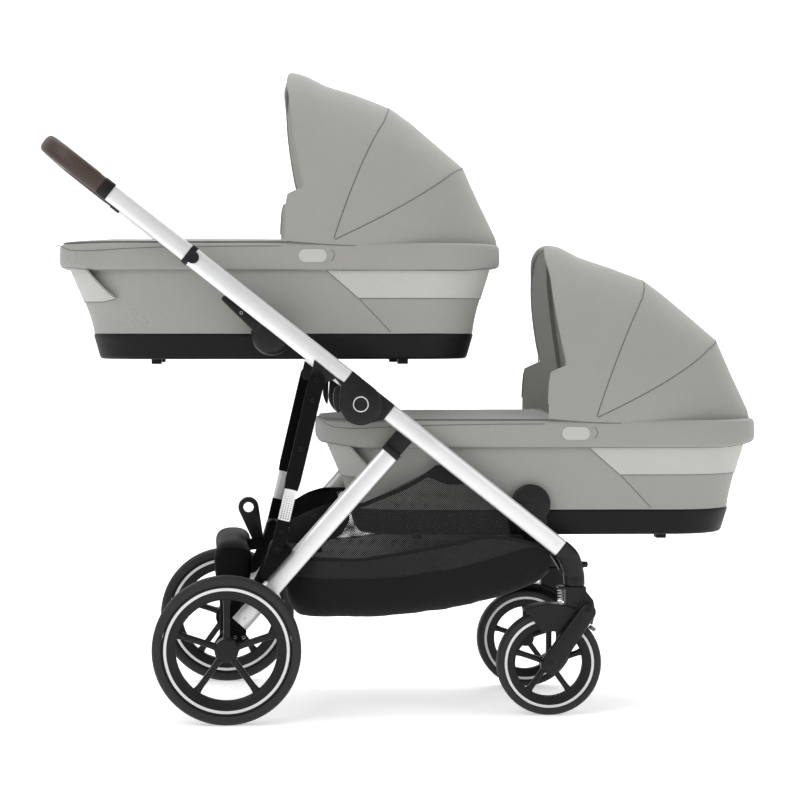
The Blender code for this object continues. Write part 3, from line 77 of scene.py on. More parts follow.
def makeCamera():
    data = bpy.data.cameras.new("photoCamera")
    data.lens = camera["lens"]
    data.sensor_width = camera["sensor"]
    data.shift_x = camera["shiftX"]
    data.clip_end = 60
    obj = linked("photoCamera", data)
    obj.location = camera["place"]
    obj.rotation_euler = (math.radians(camera["tilt"]), 0, math.radians(camera["turn"]))
    bpy.context.scene.camera = obj


makeCamera()


# small helpers for places and outlines

def direction(degrees):
    return Vector((math.cos(math.radians(degrees)), math.sin(math.radians(degrees))))


def wayAndAngle(start, end):
    way = (Vector(end) - Vector(start)).normalized()
    return way, math.degrees(math.atan2(way.y, way.x))


def placed(place, points):
    # side-view points of a cot, moved to where the cot stands
    return [(place[0] + x, place[1] + z) for x, z in points]


def between(a, b, t):
    return a + (b - a) * t


def ease(t):
    t = max(0.0, min(1.0, t))
    return t * t * (3 - 2 * t)


def lookup(table, x):
    # height at x on a chain of (x, z) points
    for (x0, z0), (x1, z1) in zip(table, table[1:]):
        if x <= x1:
            return between(z0, z1, max(0.0, (x - x0) / (x1 - x0)))
    return table[-1][1]


def smoothLookup(table, x):
    # like lookup, but rounded at the points (monotone cubic)
    xs = [p[0] for p in table]
    zs = [p[1] for p in table]
    last = len(xs) - 1
    if x <= xs[0]:
        return zs[0]
    if x >= xs[-1]:
        return zs[-1]
    slopes = [(zs[i + 1] - zs[i]) / (xs[i + 1] - xs[i]) for i in range(last)]
    turns = [slopes[0]]
    for i in range(1, last):
        a, b = slopes[i - 1], slopes[i]
        turns.append(0.0 if a * b <= 0 else 2 * a * b / (a + b))
    turns.append(slopes[-1])
    i = max(k for k in range(last) if xs[k] <= x)
    h = xs[i + 1] - xs[i]
    t = (x - xs[i]) / h
    return ((2 * t ** 3 - 3 * t ** 2 + 1) * zs[i] + (t ** 3 - 2 * t ** 2 + t) * h * turns[i]
            + (-2 * t ** 3 + 3 * t ** 2) * zs[i + 1] + (t ** 3 - t ** 2) * h * turns[i + 1])


def arc(centre, radius, start, end, count):
    return [Vector(centre) + direction(between(start, end, i / count)) * radius for i in range(count + 1)]


def hullOutline(points):
    points = sorted({(round(p[0], 6), round(p[1], 6)) for p in points})

    def half(order):
        chain = []
        for p in order:
            while len(chain) > 1 and (
                (chain[-1][0] - chain[-2][0]) * (p[1] - chain[-2][1])
                - (chain[-1][1] - chain[-2][1]) * (p[0] - chain[-2][0])
            ) <= 1e-10:
                chain.pop()
            chain.append(p)
        return chain[:-1]

    return [Vector(p) for p in half(points) + half(points[::-1])]


def linkOutline(start, startRadius, end, endRadius, count=36):
    return hullOutline(arc(start, startRadius, 0, 360, count) + arc(end, endRadius, 0, 360, count))


def tubeCorners(end, angle, height):
    across = direction(angle + 90) * (height / 2)
    return [Vector(end) + across, Vector(end) - across]


def roundCorners(outline, radius, steps=5):
    # the same outline with each corner rounded
    result = []
    count = len(outline)
    for i in range(count):
        p = Vector(outline[i])
        before = Vector(outline[i - 1]) - p
        after = Vector(outline[(i + 1) % count]) - p
        reach = min(radius, 0.45 * before.length, 0.45 * after.length)
        a = p + before.normalized() * reach
        b = p + after.normalized() * reach
        for k in range(steps + 1):
            t = k / steps
            result.append(a * (1 - t) ** 2 + p * 2 * t * (1 - t) + b * t ** 2)
    return result


def offsetOutline(outline, distance):
    count = len(outline)
    area = sum(a[0] * b[1] - b[0] * a[1] for a, b in zip(outline, outline[1:] + outline[:1]))
    turn = 1.0 if area > 0 else -1.0
    result = []
    for i, p in enumerate(outline):
        before = (Vector(p) - Vector(outline[i - 1])).normalized()
        after = (Vector(outline[(i + 1) % count]) - Vector(p)).normalized()
        normal = Vector((-(before.y + after.y), before.x + after.x)) * turn
        side = Vector((-after.y, after.x)) * turn
        if normal.length < 1e-6:
            normal = side.copy()
        normal.normalize()
        result.append(Vector(p) + normal * (distance / max(0.5, normal.dot(side))))
    return result


def ovalRing(centre, longWay, shortWay, height, width, count=40, power=2.6):
    ring = []
    for i in range(count):
        a = 2 * math.pi * (i + 0.5) / count
        c, s = math.cos(a), math.sin(a)
        u = math.copysign(abs(c) ** (2 / power), c) * height / 2
        v = math.copysign(abs(s) ** (2 / power), s) * width / 2
        ring.append(Vector(centre) + Vector(longWay) * u + Vector(shortWay) * v)
    return ring


def roundedRing(rear, front, half, corner, z, count=14, straight=10):
    # rounded rectangle in plan at height z, its straight runs cut up too
    corner = min(corner, half * 0.98)
    corners = []
    for cx, cy, start in (
        (front - corner, half - corner, 0), (rear + corner, half - corner, 90),
        (rear + corner, -half + corner, 180), (front - corner, -half + corner, 270),
    ):
        corners.append([Vector((p.x, p.y, z)) for p in arc((cx, cy), corner, start, start + 90, count)])
    ring = []
    for k, points in enumerate(corners):
        ring += points
        a, b = points[-1], corners[(k + 1) % 4][0]
        steps = straight if k % 2 == 0 else 3
        ring += [a.lerp(b, (i + 1) / (steps + 1)) for i in range(steps)]
    return ring


# meshes

def closedMesh(name, points, faces, turnOut=True):
    mesh = bpy.data.meshes.new(name)
    mesh.from_pydata([tuple(p) for p in points], [], faces)
    if turnOut:
        work = bmesh.new()
        work.from_mesh(mesh)
        bmesh.ops.recalc_face_normals(work, faces=work.faces)
        if work.calc_volume(signed=True) < 0:
            bmesh.ops.reverse_faces(work, faces=work.faces)
        work.to_mesh(mesh)
        work.free()
    return mesh


def loftMesh(name, rings, looped=False, capped=True):
    count = len(rings[0])
    points = [p for ring in rings for p in ring]
    pairs = list(zip(range(len(rings) - 1), range(1, len(rings))))
    if looped:
        pairs.append((len(rings) - 1, 0))
    faces = []
    for a, b in pairs:
        for i in range(count):
            j = (i + 1) % count
            faces.append((a * count + i, a * count + j, b * count + j, b * count + i))
    if capped and not looped:
        faces.append(tuple(range(count))[::-1])
        last = (len(rings) - 1) * count
        faces.append(tuple(range(last, last + count)))
    return closedMesh(name, points, faces)


def slabMesh(name, outer, inner):
    # a closed sheet between two grids of equal size
    rows, cols = len(outer), len(outer[0])
    points = [p for row in outer for p in row] + [p for row in inner for p in row]
    base = rows * cols
    faces = []
    for r in range(rows - 1):
        for c in range(cols - 1):
            a, b, d, e = r * cols + c, r * cols + c + 1, (r + 1) * cols + c + 1, (r + 1) * cols + c
            faces.append((a, b, d, e))
            faces.append((base + e, base + d, base + b, base + a))
    border = [(0, c) for c in range(cols)] + [(r, cols - 1) for r in range(1, rows)]
    border += [(rows - 1, c) for c in range(cols - 2, -1, -1)] + [(r, 0) for r in range(rows - 2, 0, -1)]
    for (r0, c0), (r1, c1) in zip(border, border[1:] + border[:1]):
        a, b = r0 * cols + c0, r1 * cols + c1
        faces.append((b, a, base + a, base + b))
    return closedMesh(name, points, faces)


def plateMesh(name, outline, y0, y1, bevel=0.0, steps=3):
    # an outline in the side view given a thickness across the pram, its rims rounded
    lo, hi = min(y0, y1), max(y0, y1)
    rings = []
    for k in range(steps + 1 if bevel else 1):
        a = math.pi / 2 * k / steps
        inset = bevel * (1 - math.sin(a))
        y = bevel * (1 - math.cos(a))
        rings.append((offsetOutline(outline, inset) if inset > 1e-6 else outline, y))
    if bevel:
        low = [[Vector((p[0], lo + y, p[1])) for p in ring] for ring, y in rings]
        high = [[Vector((p[0], hi - y, p[1])) for p in ring] for ring, y in reversed(rings)]
        return loftMesh(name, low + high)
    return loftMesh(name, [[Vector((p[0], y, p[1])) for p in outline] for y in (lo, hi)])


def latheMesh(name, profile, centre, yMid, side, count=96, looped=False):
    # (radius, y) points turned about a line across the pram through (x, z)
    rings = []
    for r, y in profile:
        rings.append([Vector((centre[0] + max(r, 1e-5) * math.cos(2 * math.pi * i / count), yMid + side * y,
                              centre[1] + max(r, 1e-5) * math.sin(2 * math.pi * i / count)))
                      for i in range(count)])
    return loftMesh(name, rings, looped=looped)


def rodMesh(name, start, end, radius, count=28, bevel=0.0008):
    way = Vector(end) - Vector(start)
    length = way.length
    way.normalize()
    one = way.orthogonal().normalized()
    other = way.cross(one)
    rings = []
    bevel = min(bevel, radius * 0.5, length * 0.45)
    stations = [(0.0, radius - bevel), (bevel, radius), (length - bevel, radius), (length, radius - bevel)]
    for s, r in stations:
        centre = Vector(start) + way * s
        rings.append([centre + one * (r * math.cos(2 * math.pi * i / count))
                      + other * (r * math.sin(2 * math.pi * i / count)) for i in range(count)])
    return loftMesh(name, rings)


def sweepTube(name, points, radius, count=8, closed=False):
    # round tube along a chain of points; radius may be one number or one for each point
    points = [Vector(p) for p in points]
    radii = radius if hasattr(radius, "__len__") else [radius] * len(points)
    total = len(points)
    rings = []
    normal = None
    for i, p in enumerate(points):
        before = points[i - 1] if (closed or i) else p
        after = points[(i + 1) % total] if (closed or i < total - 1) else p
        way = (after - before).normalized()
        normal = way.orthogonal() if normal is None else normal - way * normal.dot(way)
        normal.normalize()
        other = way.cross(normal)
        rings.append([p + normal * (radii[i] * math.cos(2 * math.pi * k / count))
                      + other * (radii[i] * math.sin(2 * math.pi * k / count)) for k in range(count)])
    return loftMesh(name, rings, looped=closed)


def joinMeshes(name, meshes):
    work = bmesh.new()
    for mesh in meshes:
        work.from_mesh(mesh)
    joined = bpy.data.meshes.new(name)
    work.to_mesh(joined)
    work.free()
    for mesh in meshes:
        if mesh.users == 0:
            bpy.data.meshes.remove(mesh)
    return joined


def withModifiers(name, mesh, addModifiers):
    # the mesh after a set of modifiers, as a plain mesh
    obj = linked(name, mesh)
    addModifiers(obj)
    bpy.context.view_layer.update()
    result = bpy.data.meshes.new_from_object(obj.evaluated_get(bpy.context.evaluated_depsgraph_get()))
    bpy.data.objects.remove(obj, do_unlink=True)
    return result


def fuse(name, meshes, voxel, rounds):
    # runs overlapping pieces into one moulding with soft edges
    def steps(obj):
        remesh = obj.modifiers.new("remesh", "REMESH")
        remesh.mode = "VOXEL"
        remesh.voxel_size = voxel * 1.0
        soften = obj.modifiers.new("soften", "SMOOTH")
        soften.factor = 0.5
        soften.iterations = rounds

    return withModifiers(name, joinMeshes(name, meshes), steps)


def ripple(mesh, depth, size, seed=0.0, keep=None):
    # slack in sewn fabric: a soft wave along the normals
    mesh.update()
    normals = [v.normal.copy() for v in mesh.vertices]
    for v, n in zip(mesh.vertices, normals):
        p = v.co * (1.0 / size) + Vector((seed, seed * 0.7, -seed))
        amount = depth * (noise.noise(p) + 0.5 * noise.noise(p * 2.1))
        if keep:
            amount *= keep(v.co)
        v.co += n * amount


def surfaceOf(mesh):
    return BVHTree.FromPolygons([v.co.copy() for v in mesh.vertices], [tuple(p.vertices) for p in mesh.polygons])


def onSide(surface, x, z, side, lift=0.0):
    hit = surface.ray_cast(Vector((x, side * 0.6, z)), Vector((0, -side, 0)), 0.55)[0]
    if hit is None:
        hit = surface.find_nearest(Vector((x, side * 0.22, z)))[0]
    return Vector((x, hit.y + side * lift, z))


def patchOn(name, surface, outline, side, lift=0.0007, step=0.006):
    # a flat piece of material laid on the side of a form
    work = bmesh.new()
    work.faces.new([work.verts.new((p[0], 0, p[1])) for p in outline])
    for axis in (0, 2):
        low = min(p[axis // 2] for p in outline)
        high = max(p[axis // 2] for p in outline)
        cutAt = low + step
        while cutAt < high:
            spot = [0, 0, 0]
            way = [0, 0, 0]
            spot[axis], way[axis] = cutAt, 1
            everything = work.verts[:] + work.edges[:] + work.faces[:]
            bmesh.ops.bisect_plane(work, geom=everything, plane_co=spot, plane_no=way)
            cutAt += step
    for v in work.verts:
        v.co = onSide(surface, v.co.x, v.co.z, side, lift)
    rim = [e for e in work.edges if e.is_boundary]
    made = bmesh.ops.extrude_edge_only(work, edges=rim)
    for v in (g for g in made["geom"] if isinstance(g, bmesh.types.BMVert)):
        v.co.y -= side * (lift + 0.001)
    bmesh.ops.recalc_face_normals(work, faces=work.faces)
    mesh = bpy.data.meshes.new(name)
    work.to_mesh(mesh)
    work.free()
    probe = max(mesh.polygons, key=lambda p: p.area)
    if probe.normal.y * side < 0:
        mesh.flip_normals()
    return mesh


def lineOn(surface, points, side, radius, lift=0.0, step=0.005):
    # a seam or cord that follows the side of a form
    chain = []
    for a, b in zip(points, points[1:]):
        a, b = Vector(a), Vector(b)
        steps = max(1, int((b - a).length / step))
        chain += [a.lerp(b, i / steps) for i in range(steps)]
    chain.append(Vector(points[-1]))
    return sweepTube("line", [onSide(surface, p[0], p[1], side, lift) for p in chain], radius, 6)


def addPiece(name, mesh, body, finish, replaced=(), smooth=35.0, slot=None):
    # the slot follows from the finish, unless one is given; it is worked out here and not used further
    slot = slot or finishSlots[finish]
    mesh.name = name
    mesh.materials.clear()
    mesh.materials.append(materials[finish])
    mesh.polygons.foreach_set("material_index", [0] * len(mesh.polygons))
    mesh.shade_smooth()
    mesh.set_sharp_from_angle(angle=math.radians(smooth))
    obj = linked(name, mesh)
    if body:
        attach(obj, body)
    if replaced:
        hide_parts(*replaced)
    return obj


# node groups used by several materials

def feed(tree, socket, value):
    # another node's output is linked, a number or colour is set
    if isinstance(value, bpy.types.NodeSocket):
        tree.links.new(value, socket)
    elif value is not None:
        socket.default_value = (*value, 1.0) if socket.type == "RGBA" and len(value) == 3 else value


def setInputs(tree, node, **values):
    for label, value in values.items():
        feed(tree, node.inputs[label.replace("_", " ")], value)
    return node


def newGroup(name, given, made):
    group = bpy.data.node_groups.new(name, "ShaderNodeTree")
    for label, value in given.items():
        socket = group.interface.new_socket(name=label, in_out="INPUT", socket_type="NodeSocketFloat")
        socket.default_value = value
    for label in made:
        group.interface.new_socket(name=label, in_out="OUTPUT", socket_type="NodeSocketFloat")
    return group, group.nodes.new("NodeGroupInput").outputs, group.nodes.new("NodeGroupOutput")


def calc(tree, operation, a, b=None, c=None, clamp=False):
    node = tree.nodes.new("ShaderNodeMath")
    node.operation = operation
    node.use_clamp = clamp
    for socket, value in zip(node.inputs, (a, b, c)):
        feed(tree, socket, value)
    return node.outputs[0]


def times(tree, a, b, clamp=False):
    return calc(tree, "MULTIPLY", a, b, clamp=clamp)


def noiseAt(tree, vector, scale, detail=3.0, rough=0.55):
    node = tree.nodes.new("ShaderNodeTexNoise")
    return setInputs(tree, node, Detail=detail, Roughness=rough, Vector=vector, Scale=scale).outputs["Fac"]


def objectPlace(tree):
    return tree.nodes.new("ShaderNodeTexCoord").outputs["Object"]


def mixColour(tree, share, a, b):
    node = tree.nodes.new("ShaderNodeMix")
    node.data_type = "RGBA"
    setInputs(tree, node, Factor=share, A=a, B=b)
    return next(s for s in node.outputs if s.name == "Result" and s.type == "RGBA")


def buildThreadGroup():
    # crossed threads that run along the object, slightly uneven
    group, given, made = newGroup("wovenThreads", {"Threads per metre": 700.0, "Unevenness": 0.6}, ["Height", "Gaps"])
    place = objectPlace(group)
    parts = setInputs(group, group.nodes.new("ShaderNodeSeparateXYZ"), Vector=place).outputs
    wander = times(group, noiseAt(group, place, 90.0, 2.0), given["Unevenness"])
    turns = times(group, given["Threads per metre"], math.pi)
    along = calc(group, "ADD", parts[0], times(group, parts[1], 0.83))
    upward = calc(group, "ADD", parts[2], times(group, parts[1], 0.47))
    warp = calc(group, "SINE", calc(group, "ADD", times(group, along, turns), wander))
    weft = calc(group, "SINE", calc(group, "SUBTRACT", times(group, upward, turns), wander))
    height = calc(group, "MULTIPLY_ADD", times(group, warp, weft), 0.5, 0.5)
    gaps = times(group, calc(group, "ABSOLUTE", warp), calc(group, "ABSOLUTE", weft))
    setInputs(group, made, Height=height, Gaps=gaps)
    return group


def buildHeatherGroup():
    # uneven colour of melange yarn: fine specks over soft broad patches
    group, given, made = newGroup("heatherYarn", {"Speck scale": 420.0, "Speck": 0.5, "Patch": 0.3}, ["Share"])
    place = objectPlace(group)
    fine = noiseAt(group, place, given["Speck scale"], 2.0, 0.7)
    broad = noiseAt(group, place, 9.0, 3.0, 0.5)
    speck = times(group, calc(group, "SUBTRACT", fine, 0.5), given["Speck"])
    patch = times(group, calc(group, "SUBTRACT", broad, 0.5), given["Patch"])
    setInputs(group, made, Share=calc(group, "ADD", calc(group, "ADD", speck, patch), 0.5, clamp=True))
    return group


def buildGrainGroup():
    # spark-eroded grain of moulded plastic, with the smudges of use
    group, given, made = newGroup("mouldedGrain", {"Grain scale": 1500.0, "Smudge": 0.12}, ["Height", "Smudge"])
    place = objectPlace(group)
    height = noiseAt(group, place, given["Grain scale"], 1.0, 0.5)
    soft = calc(group, "SUBTRACT", noiseAt(group, place, 14.0, 5.0, 0.6), 0.5)
    setInputs(group, made, Height=height, Smudge=times(group, soft, given["Smudge"]))
    return group


def buildBrushGroup():
    # fine drawn lines on anodised tube
    group, given, made = newGroup("drawnMetal", {"Line scale": 60.0}, ["Height", "Tone"])
    place = objectPlace(group)
    stretch = setInputs(group, group.nodes.new("ShaderNodeMapping"), Scale=(1.0, 12.0, 1.0), Vector=place)
    setInputs(group, made, Height=noiseAt(group, stretch.outputs[0], given["Line scale"], 6.0, 0.6),
              Tone=noiseAt(group, place, 7.0, 3.0, 0.5))
    return group


def buildEdgeGroup():
    # worn edges with a painted highlight: where a wide rounding of the surface turns away from the surface itself
    group, given, made = newGroup("wornAndHighlitEdges", {"Strength": 4.0}, ["Edge"])
    wide = setInputs(group, group.nodes.new("ShaderNodeBevel"), Radius=0.0016)
    wide.samples = 4
    geometry = group.nodes.new("ShaderNodeNewGeometry")
    dot = group.nodes.new("ShaderNodeVectorMath")
    dot.operation = "DOT_PRODUCT"
    feed(group, dot.inputs[0], wide.outputs[0])
    feed(group, dot.inputs[1], geometry.outputs["Normal"])
    turned = times(group, calc(group, "SUBTRACT", 1.0, dot.outputs["Value"]), given["Strength"], True)
    setInputs(group, made, Edge=times(group, turned, noiseAt(group, objectPlace(group), 160.0, 3.0), True))
    return group


groups = {"threads": buildThreadGroup(), "heather": buildHeatherGroup(), "grain": buildGrainGroup(),
          "brush": buildBrushGroup(), "edges": buildEdgeGroup()}
print("node groups built")


# materials

def newMaterial(name):
    mat = bpy.data.materials.new(name)
    mat.use_nodes = True
    tree = mat.node_tree
    return mat, tree, tree.nodes["Principled BSDF"]


def placeGroup(tree, key, **values):
    node = tree.nodes.new("ShaderNodeGroup")
    node.node_tree = groups[key]
    return setInputs(tree, node, **values).outputs


def bumpFrom(tree, shader, height, distance, strength=1.0):
    bump = setInputs(tree, tree.nodes.new("ShaderNodeBump"), Distance=distance, Strength=strength, Height=height)
    setInputs(tree, shader, Normal=bump.outputs["Normal"])


def makeFabric(name, colour, darker, threads=650.0, speck=0.9, patch=0.35, sheen=0.25, roughness=0.88, relief=0.00035):
    mat, tree, shader = newMaterial(name)
    weave = placeGroup(tree, "threads", Threads_per_metre=threads, Unevenness=1.2)
    yarn = placeGroup(tree, "heather", Speck_scale=420.0, Speck=speck, Patch=patch)
    tone = mixColour(tree, yarn["Share"], darker, colour)
    # painted shade: the gaps between the threads are darkened towards a deeper tone
    shade = times(tree, calc(tree, "SUBTRACT", 1.0, weave["Gaps"]), 0.22)
    setInputs(tree, shader, Base_Color=mixColour(tree, shade, tone, tuple(c * 0.45 for c in darker)),
              Roughness=roughness, Sheen_Weight=sheen, Sheen_Roughness=0.5, Specular_IOR_Level=0.2)
    bumpFrom(tree, shader, weave["Height"], relief, 0.6)
    return mat


def makePlastic(name, colour, edgeWearAndHighlightColour, roughness, grainScale=1500.0, relief=0.00006, edgeWearAndHighlight=1.0, gloss=0.28):
    mat, tree, shader = newMaterial(name)
    grain = placeGroup(tree, "grain", Grain_scale=grainScale, Smudge=0.16)
    edges = placeGroup(tree, "edges", Strength=5.0 * edgeWearAndHighlight)
    # edges turn lighter: part wear, part painted highlight
    setInputs(tree, shader, Base_Color=mixColour(tree, edges["Edge"], colour, edgeWearAndHighlightColour), Specular_IOR_Level=gloss,
              Roughness=calc(tree, "ADD", grain["Smudge"], roughness, clamp=True))
    bumpFrom(tree, shader, grain["Height"], relief, 0.5)
    return mat


def makeMetal(name, bright, dull, roughness, metallic=0.85):
    mat, tree, shader = newMaterial(name)
    lines = placeGroup(tree, "brush", Line_scale=60.0)
    setInputs(tree, shader, Base_Color=mixColour(tree, lines["Tone"], dull, bright), Metallic=metallic,
              Roughness=calc(tree, "MULTIPLY_ADD", lines["Height"], 0.12, roughness - 0.06))
    bumpFrom(tree, shader, lines["Height"], 0.00003, 0.35)
    return mat


def makeRubber():
    mat, tree, shader = newMaterial("tyreRubber")
    grain = placeGroup(tree, "grain", Grain_scale=700.0, Smudge=0.25)
    dust = times(tree, noiseAt(tree, objectPlace(tree), 38.0, 5.0, 0.65), 0.35)
    setInputs(tree, shader, Base_Color=mixColour(tree, dust, (0.014, 0.014, 0.015), (0.038, 0.037, 0.035)),
              Roughness=calc(tree, "ADD", grain["Smudge"], 0.68, clamp=True), Specular_IOR_Level=0.35)
    bumpFrom(tree, shader, grain["Height"], 0.00018, 0.5)
    return mat


def makeLeather():
    mat, tree, shader = newMaterial("brownLeather")
    place = objectPlace(tree)
    cells = tree.nodes.new("ShaderNodeTexVoronoi")
    cells.feature = "DISTANCE_TO_EDGE"
    setInputs(tree, cells, Scale=520.0, Vector=place)
    crease = times(tree, cells.outputs["Distance"], 3.0, True)
    tone = noiseAt(tree, place, 22.0, 5.0, 0.6)
    skin = mixColour(tree, tone, (0.046, 0.022, 0.015), (0.098, 0.052, 0.038))
    setInputs(tree, shader, Base_Color=mixColour(tree, crease, (0.022, 0.011, 0.008), skin),
              Roughness=calc(tree, "MULTIPLY_ADD", tone, 0.18, 0.36))
    bumpFrom(tree, shader, crease, 0.00022, 0.55)
    return mat


netPitch = 0.003


def makeNet():
    # knitted net: round eyes on a slanted grid, seen through
    mat, tree, shader = newMaterial("basketNet")
    parts = setInputs(tree, tree.nodes.new("ShaderNodeSeparateXYZ"), Vector=objectPlace(tree)).outputs
    turns = 2 * math.pi / netPitch * 0.7
    flat = calc(tree, "ADD", parts[0], times(tree, parts[1], 0.9))
    one, two = [calc(tree, "COSINE", times(tree, calc(tree, slant, flat, parts[2]), turns))
                for slant in ("ADD", "SUBTRACT")]
    eye = calc(tree, "MULTIPLY_ADD", calc(tree, "ADD", one, two), -3.0, 0.35, clamp=True)
    yarn = placeGroup(tree, "heather", Speck_scale=300.0, Speck=1.4, Patch=0.5)
    setInputs(tree, shader, Base_Color=mixColour(tree, yarn["Share"], (0.004, 0.004, 0.004), (0.012, 0.012, 0.012)),
              Alpha=eye, Roughness=0.8)
    bumpFrom(tree, shader, eye, 0.0002, 0.5)
    return mat


def makeTape():
    # tape that throws light back, with its fine beads
    mat, tree, shader = newMaterial("reflectiveTape")
    beads = noiseAt(tree, objectPlace(tree), 900.0, 1.0)
    broad = noiseAt(tree, objectPlace(tree), 12.0, 3.0)
    setInputs(tree, shader, Base_Color=mixColour(tree, broad, (0.56, 0.57, 0.57), (0.78, 0.79, 0.78)),
              Roughness=calc(tree, "MULTIPLY_ADD", beads, 0.2, 0.3), Metallic=0.25)
    bumpFrom(tree, shader, beads, 0.0001, 0.4)
    return mat


materials = {
    "silver": makeMetal("frameSilver", (0.8, 0.8, 0.8), (0.68, 0.685, 0.69), 0.4, 0.7),
    "steel": makeMetal("brightSteel", (0.82, 0.82, 0.82), (0.6, 0.6, 0.61), 0.28, 0.9),
    "plastic": makePlastic("blackPlastic", (0.0045, 0.0045, 0.0048), (0.026, 0.026, 0.027), 0.4),
    "wheelPlastic": makePlastic("wheelPlastic", (0.005, 0.005, 0.0053), (0.028, 0.028, 0.028), 0.46, 1100.0, 0.00009),
    "trayPlastic": makePlastic("trayPlastic", (0.005, 0.005, 0.0053), (0.016, 0.016, 0.016), 0.52, 1300.0, gloss=0.16),
    "mattePlastic": makePlastic("mattePlastic", (0.006, 0.006, 0.0063), (0.018, 0.018, 0.018), 0.6, 1300.0, gloss=0.04),
    "greyPlastic": makePlastic("greyPlastic", (0.16, 0.16, 0.16), (0.3, 0.3, 0.3), 0.5),
    "bowPlastic": makePlastic("bowPlastic", (0.24, 0.24, 0.225), (0.3, 0.3, 0.28), 0.6),
    # dark discs that paint the shade inside the rod's holes
    "holeShade": makePlastic("paintedHoleShade", (0.004, 0.004, 0.004), (0.006, 0.006, 0.006), 0.7, edgeWearAndHighlight=0.2),
    "rubber": makeRubber(),
    "leather": makeLeather(),
    "cotCloth": makeFabric("cotCloth", (0.35, 0.348, 0.33), (0.28, 0.278, 0.263)),
    "seamCloth": makeFabric("seamCloth", (0.15, 0.148, 0.138), (0.11, 0.108, 0.1), patch=0.2),
    "lightCloth": makeFabric("lightCloth", (0.52, 0.52, 0.495), (0.44, 0.44, 0.42), threads=420.0, relief=0.0005),
    # the lining is light grey, lifted further as painted light against the shade inside the hood and the tub
    "lining": makeFabric("liningCloth", (0.66, 0.655, 0.62), (0.58, 0.575, 0.545), threads=500.0),
    "bedding": makeFabric("beddingCloth", (0.74, 0.73, 0.7), (0.66, 0.65, 0.62), threads=520.0, relief=0.0005),
    "basketCloth": makeFabric("basketCloth", (0.009, 0.009, 0.009), (0.005, 0.005, 0.005), threads=380.0,
                              sheen=0.05, relief=0.0005),
    "melange": makeFabric("melangeCloth", (0.026, 0.026, 0.026), (0.009, 0.009, 0.009), threads=300.0, speck=2.6,
                          patch=0.6, sheen=0.12),
    # light backing inside the basket: partly its own grey, partly painted light against the shade inside the basket
    "innerCloth": makeFabric("innerCloth", (0.62, 0.62, 0.6), (0.46, 0.46, 0.45), threads=380.0, speck=2.0),
    "binding": makeFabric("bindingTape", (0.011, 0.011, 0.011), (0.006, 0.006, 0.006), threads=520.0, sheen=0.1),
    "net": makeNet(),
    "tape": makeTape(),
    "badge": makePlastic("plainBadge", (0.44, 0.44, 0.42), (0.52, 0.52, 0.5), 0.45, edgeWearAndHighlight=0.3),
}
print("materials built")

# the finishes of each slot; the first one also dresses the CAD nodes that stay in view
slotFinishes = {
    "aluminium": ["silver"],
    "steel": ["steel", "tape"],
    "black_plastic": ["plastic", "mattePlastic", "trayPlastic", "wheelPlastic", "greyPlastic", "holeShade"],
    "tyre_rubber": ["rubber"],
    "brown_leather": ["leather"],
    "grey_fabric": ["cotCloth", "seamCloth", "lightCloth", "innerCloth", "lining", "badge"],
    "white_fabric": ["bedding"],
    "black_fabric": ["basketCloth", "binding", "net", "melange"],
}
finishSlots = {finish: slot for slot, finishes in slotFinishes.items() for finish in finishes}


def dressFrameNodes():
    # carried-over CAD nodes get the scene's own finishes
    slotOf = {}
    for entry in frame["record"].get("materials", []):
        for nodeName in entry.get("nodes", []):
            slotOf[nodeName] = entry["slot"]
    for nodeName, obj in frame["nodes"].items():
        slotName = slotOf.get(nodeName)
        if not slotName:
            slotName = obj.data.materials[0].name if obj.data.materials else "black_plastic"
        key = slotFinishes.get(slotName.split(".")[0], ["plastic"])[0]
        if "hood_" in nodeName and nodeName.endswith("_bow"):
            key = "bowPlastic"
        obj.data.materials.clear()
        obj.data.materials.append(materials[key])


dressFrameNodes()


# small fittings

def rivetMesh(x, z, y, side, radius=0.0026, height=0.0009):
    profile = [(radius, -0.0006), (radius, 0.0), (radius * 0.86, height * 0.55), (radius * 0.5, height * 0.92),
               (0.0, height)]
    return latheMesh("rivet", profile, (x, z), side * y, side, 20)


def screwMesh(x, z, y, side, radius=0.0036):
    # sunk screw: a soft rim, a bowl and a socket
    profile = [(radius, -0.0004), (radius * 0.94, 0.0005), (radius * 0.8, 0.0006), (radius * 0.66, 0.0001),
               (radius * 0.6, -0.0002), (radius * 0.3, -0.0002), (radius * 0.27, -0.0003), (0.0, -0.0003)]
    return latheMesh("screw", profile, (x, z), side * y, side, 24)


def ringMesh(x, z, y, side, outer, inner, height):
    profile = [(inner, -0.0004), (outer, -0.0004), (outer, height * 0.6), (outer - 0.0005, height),
               (inner + 0.0005, height), (inner, height * 0.6)]
    return latheMesh("ring", profile, (x, z), side * y, side, 64, looped=True)


# frame tubes

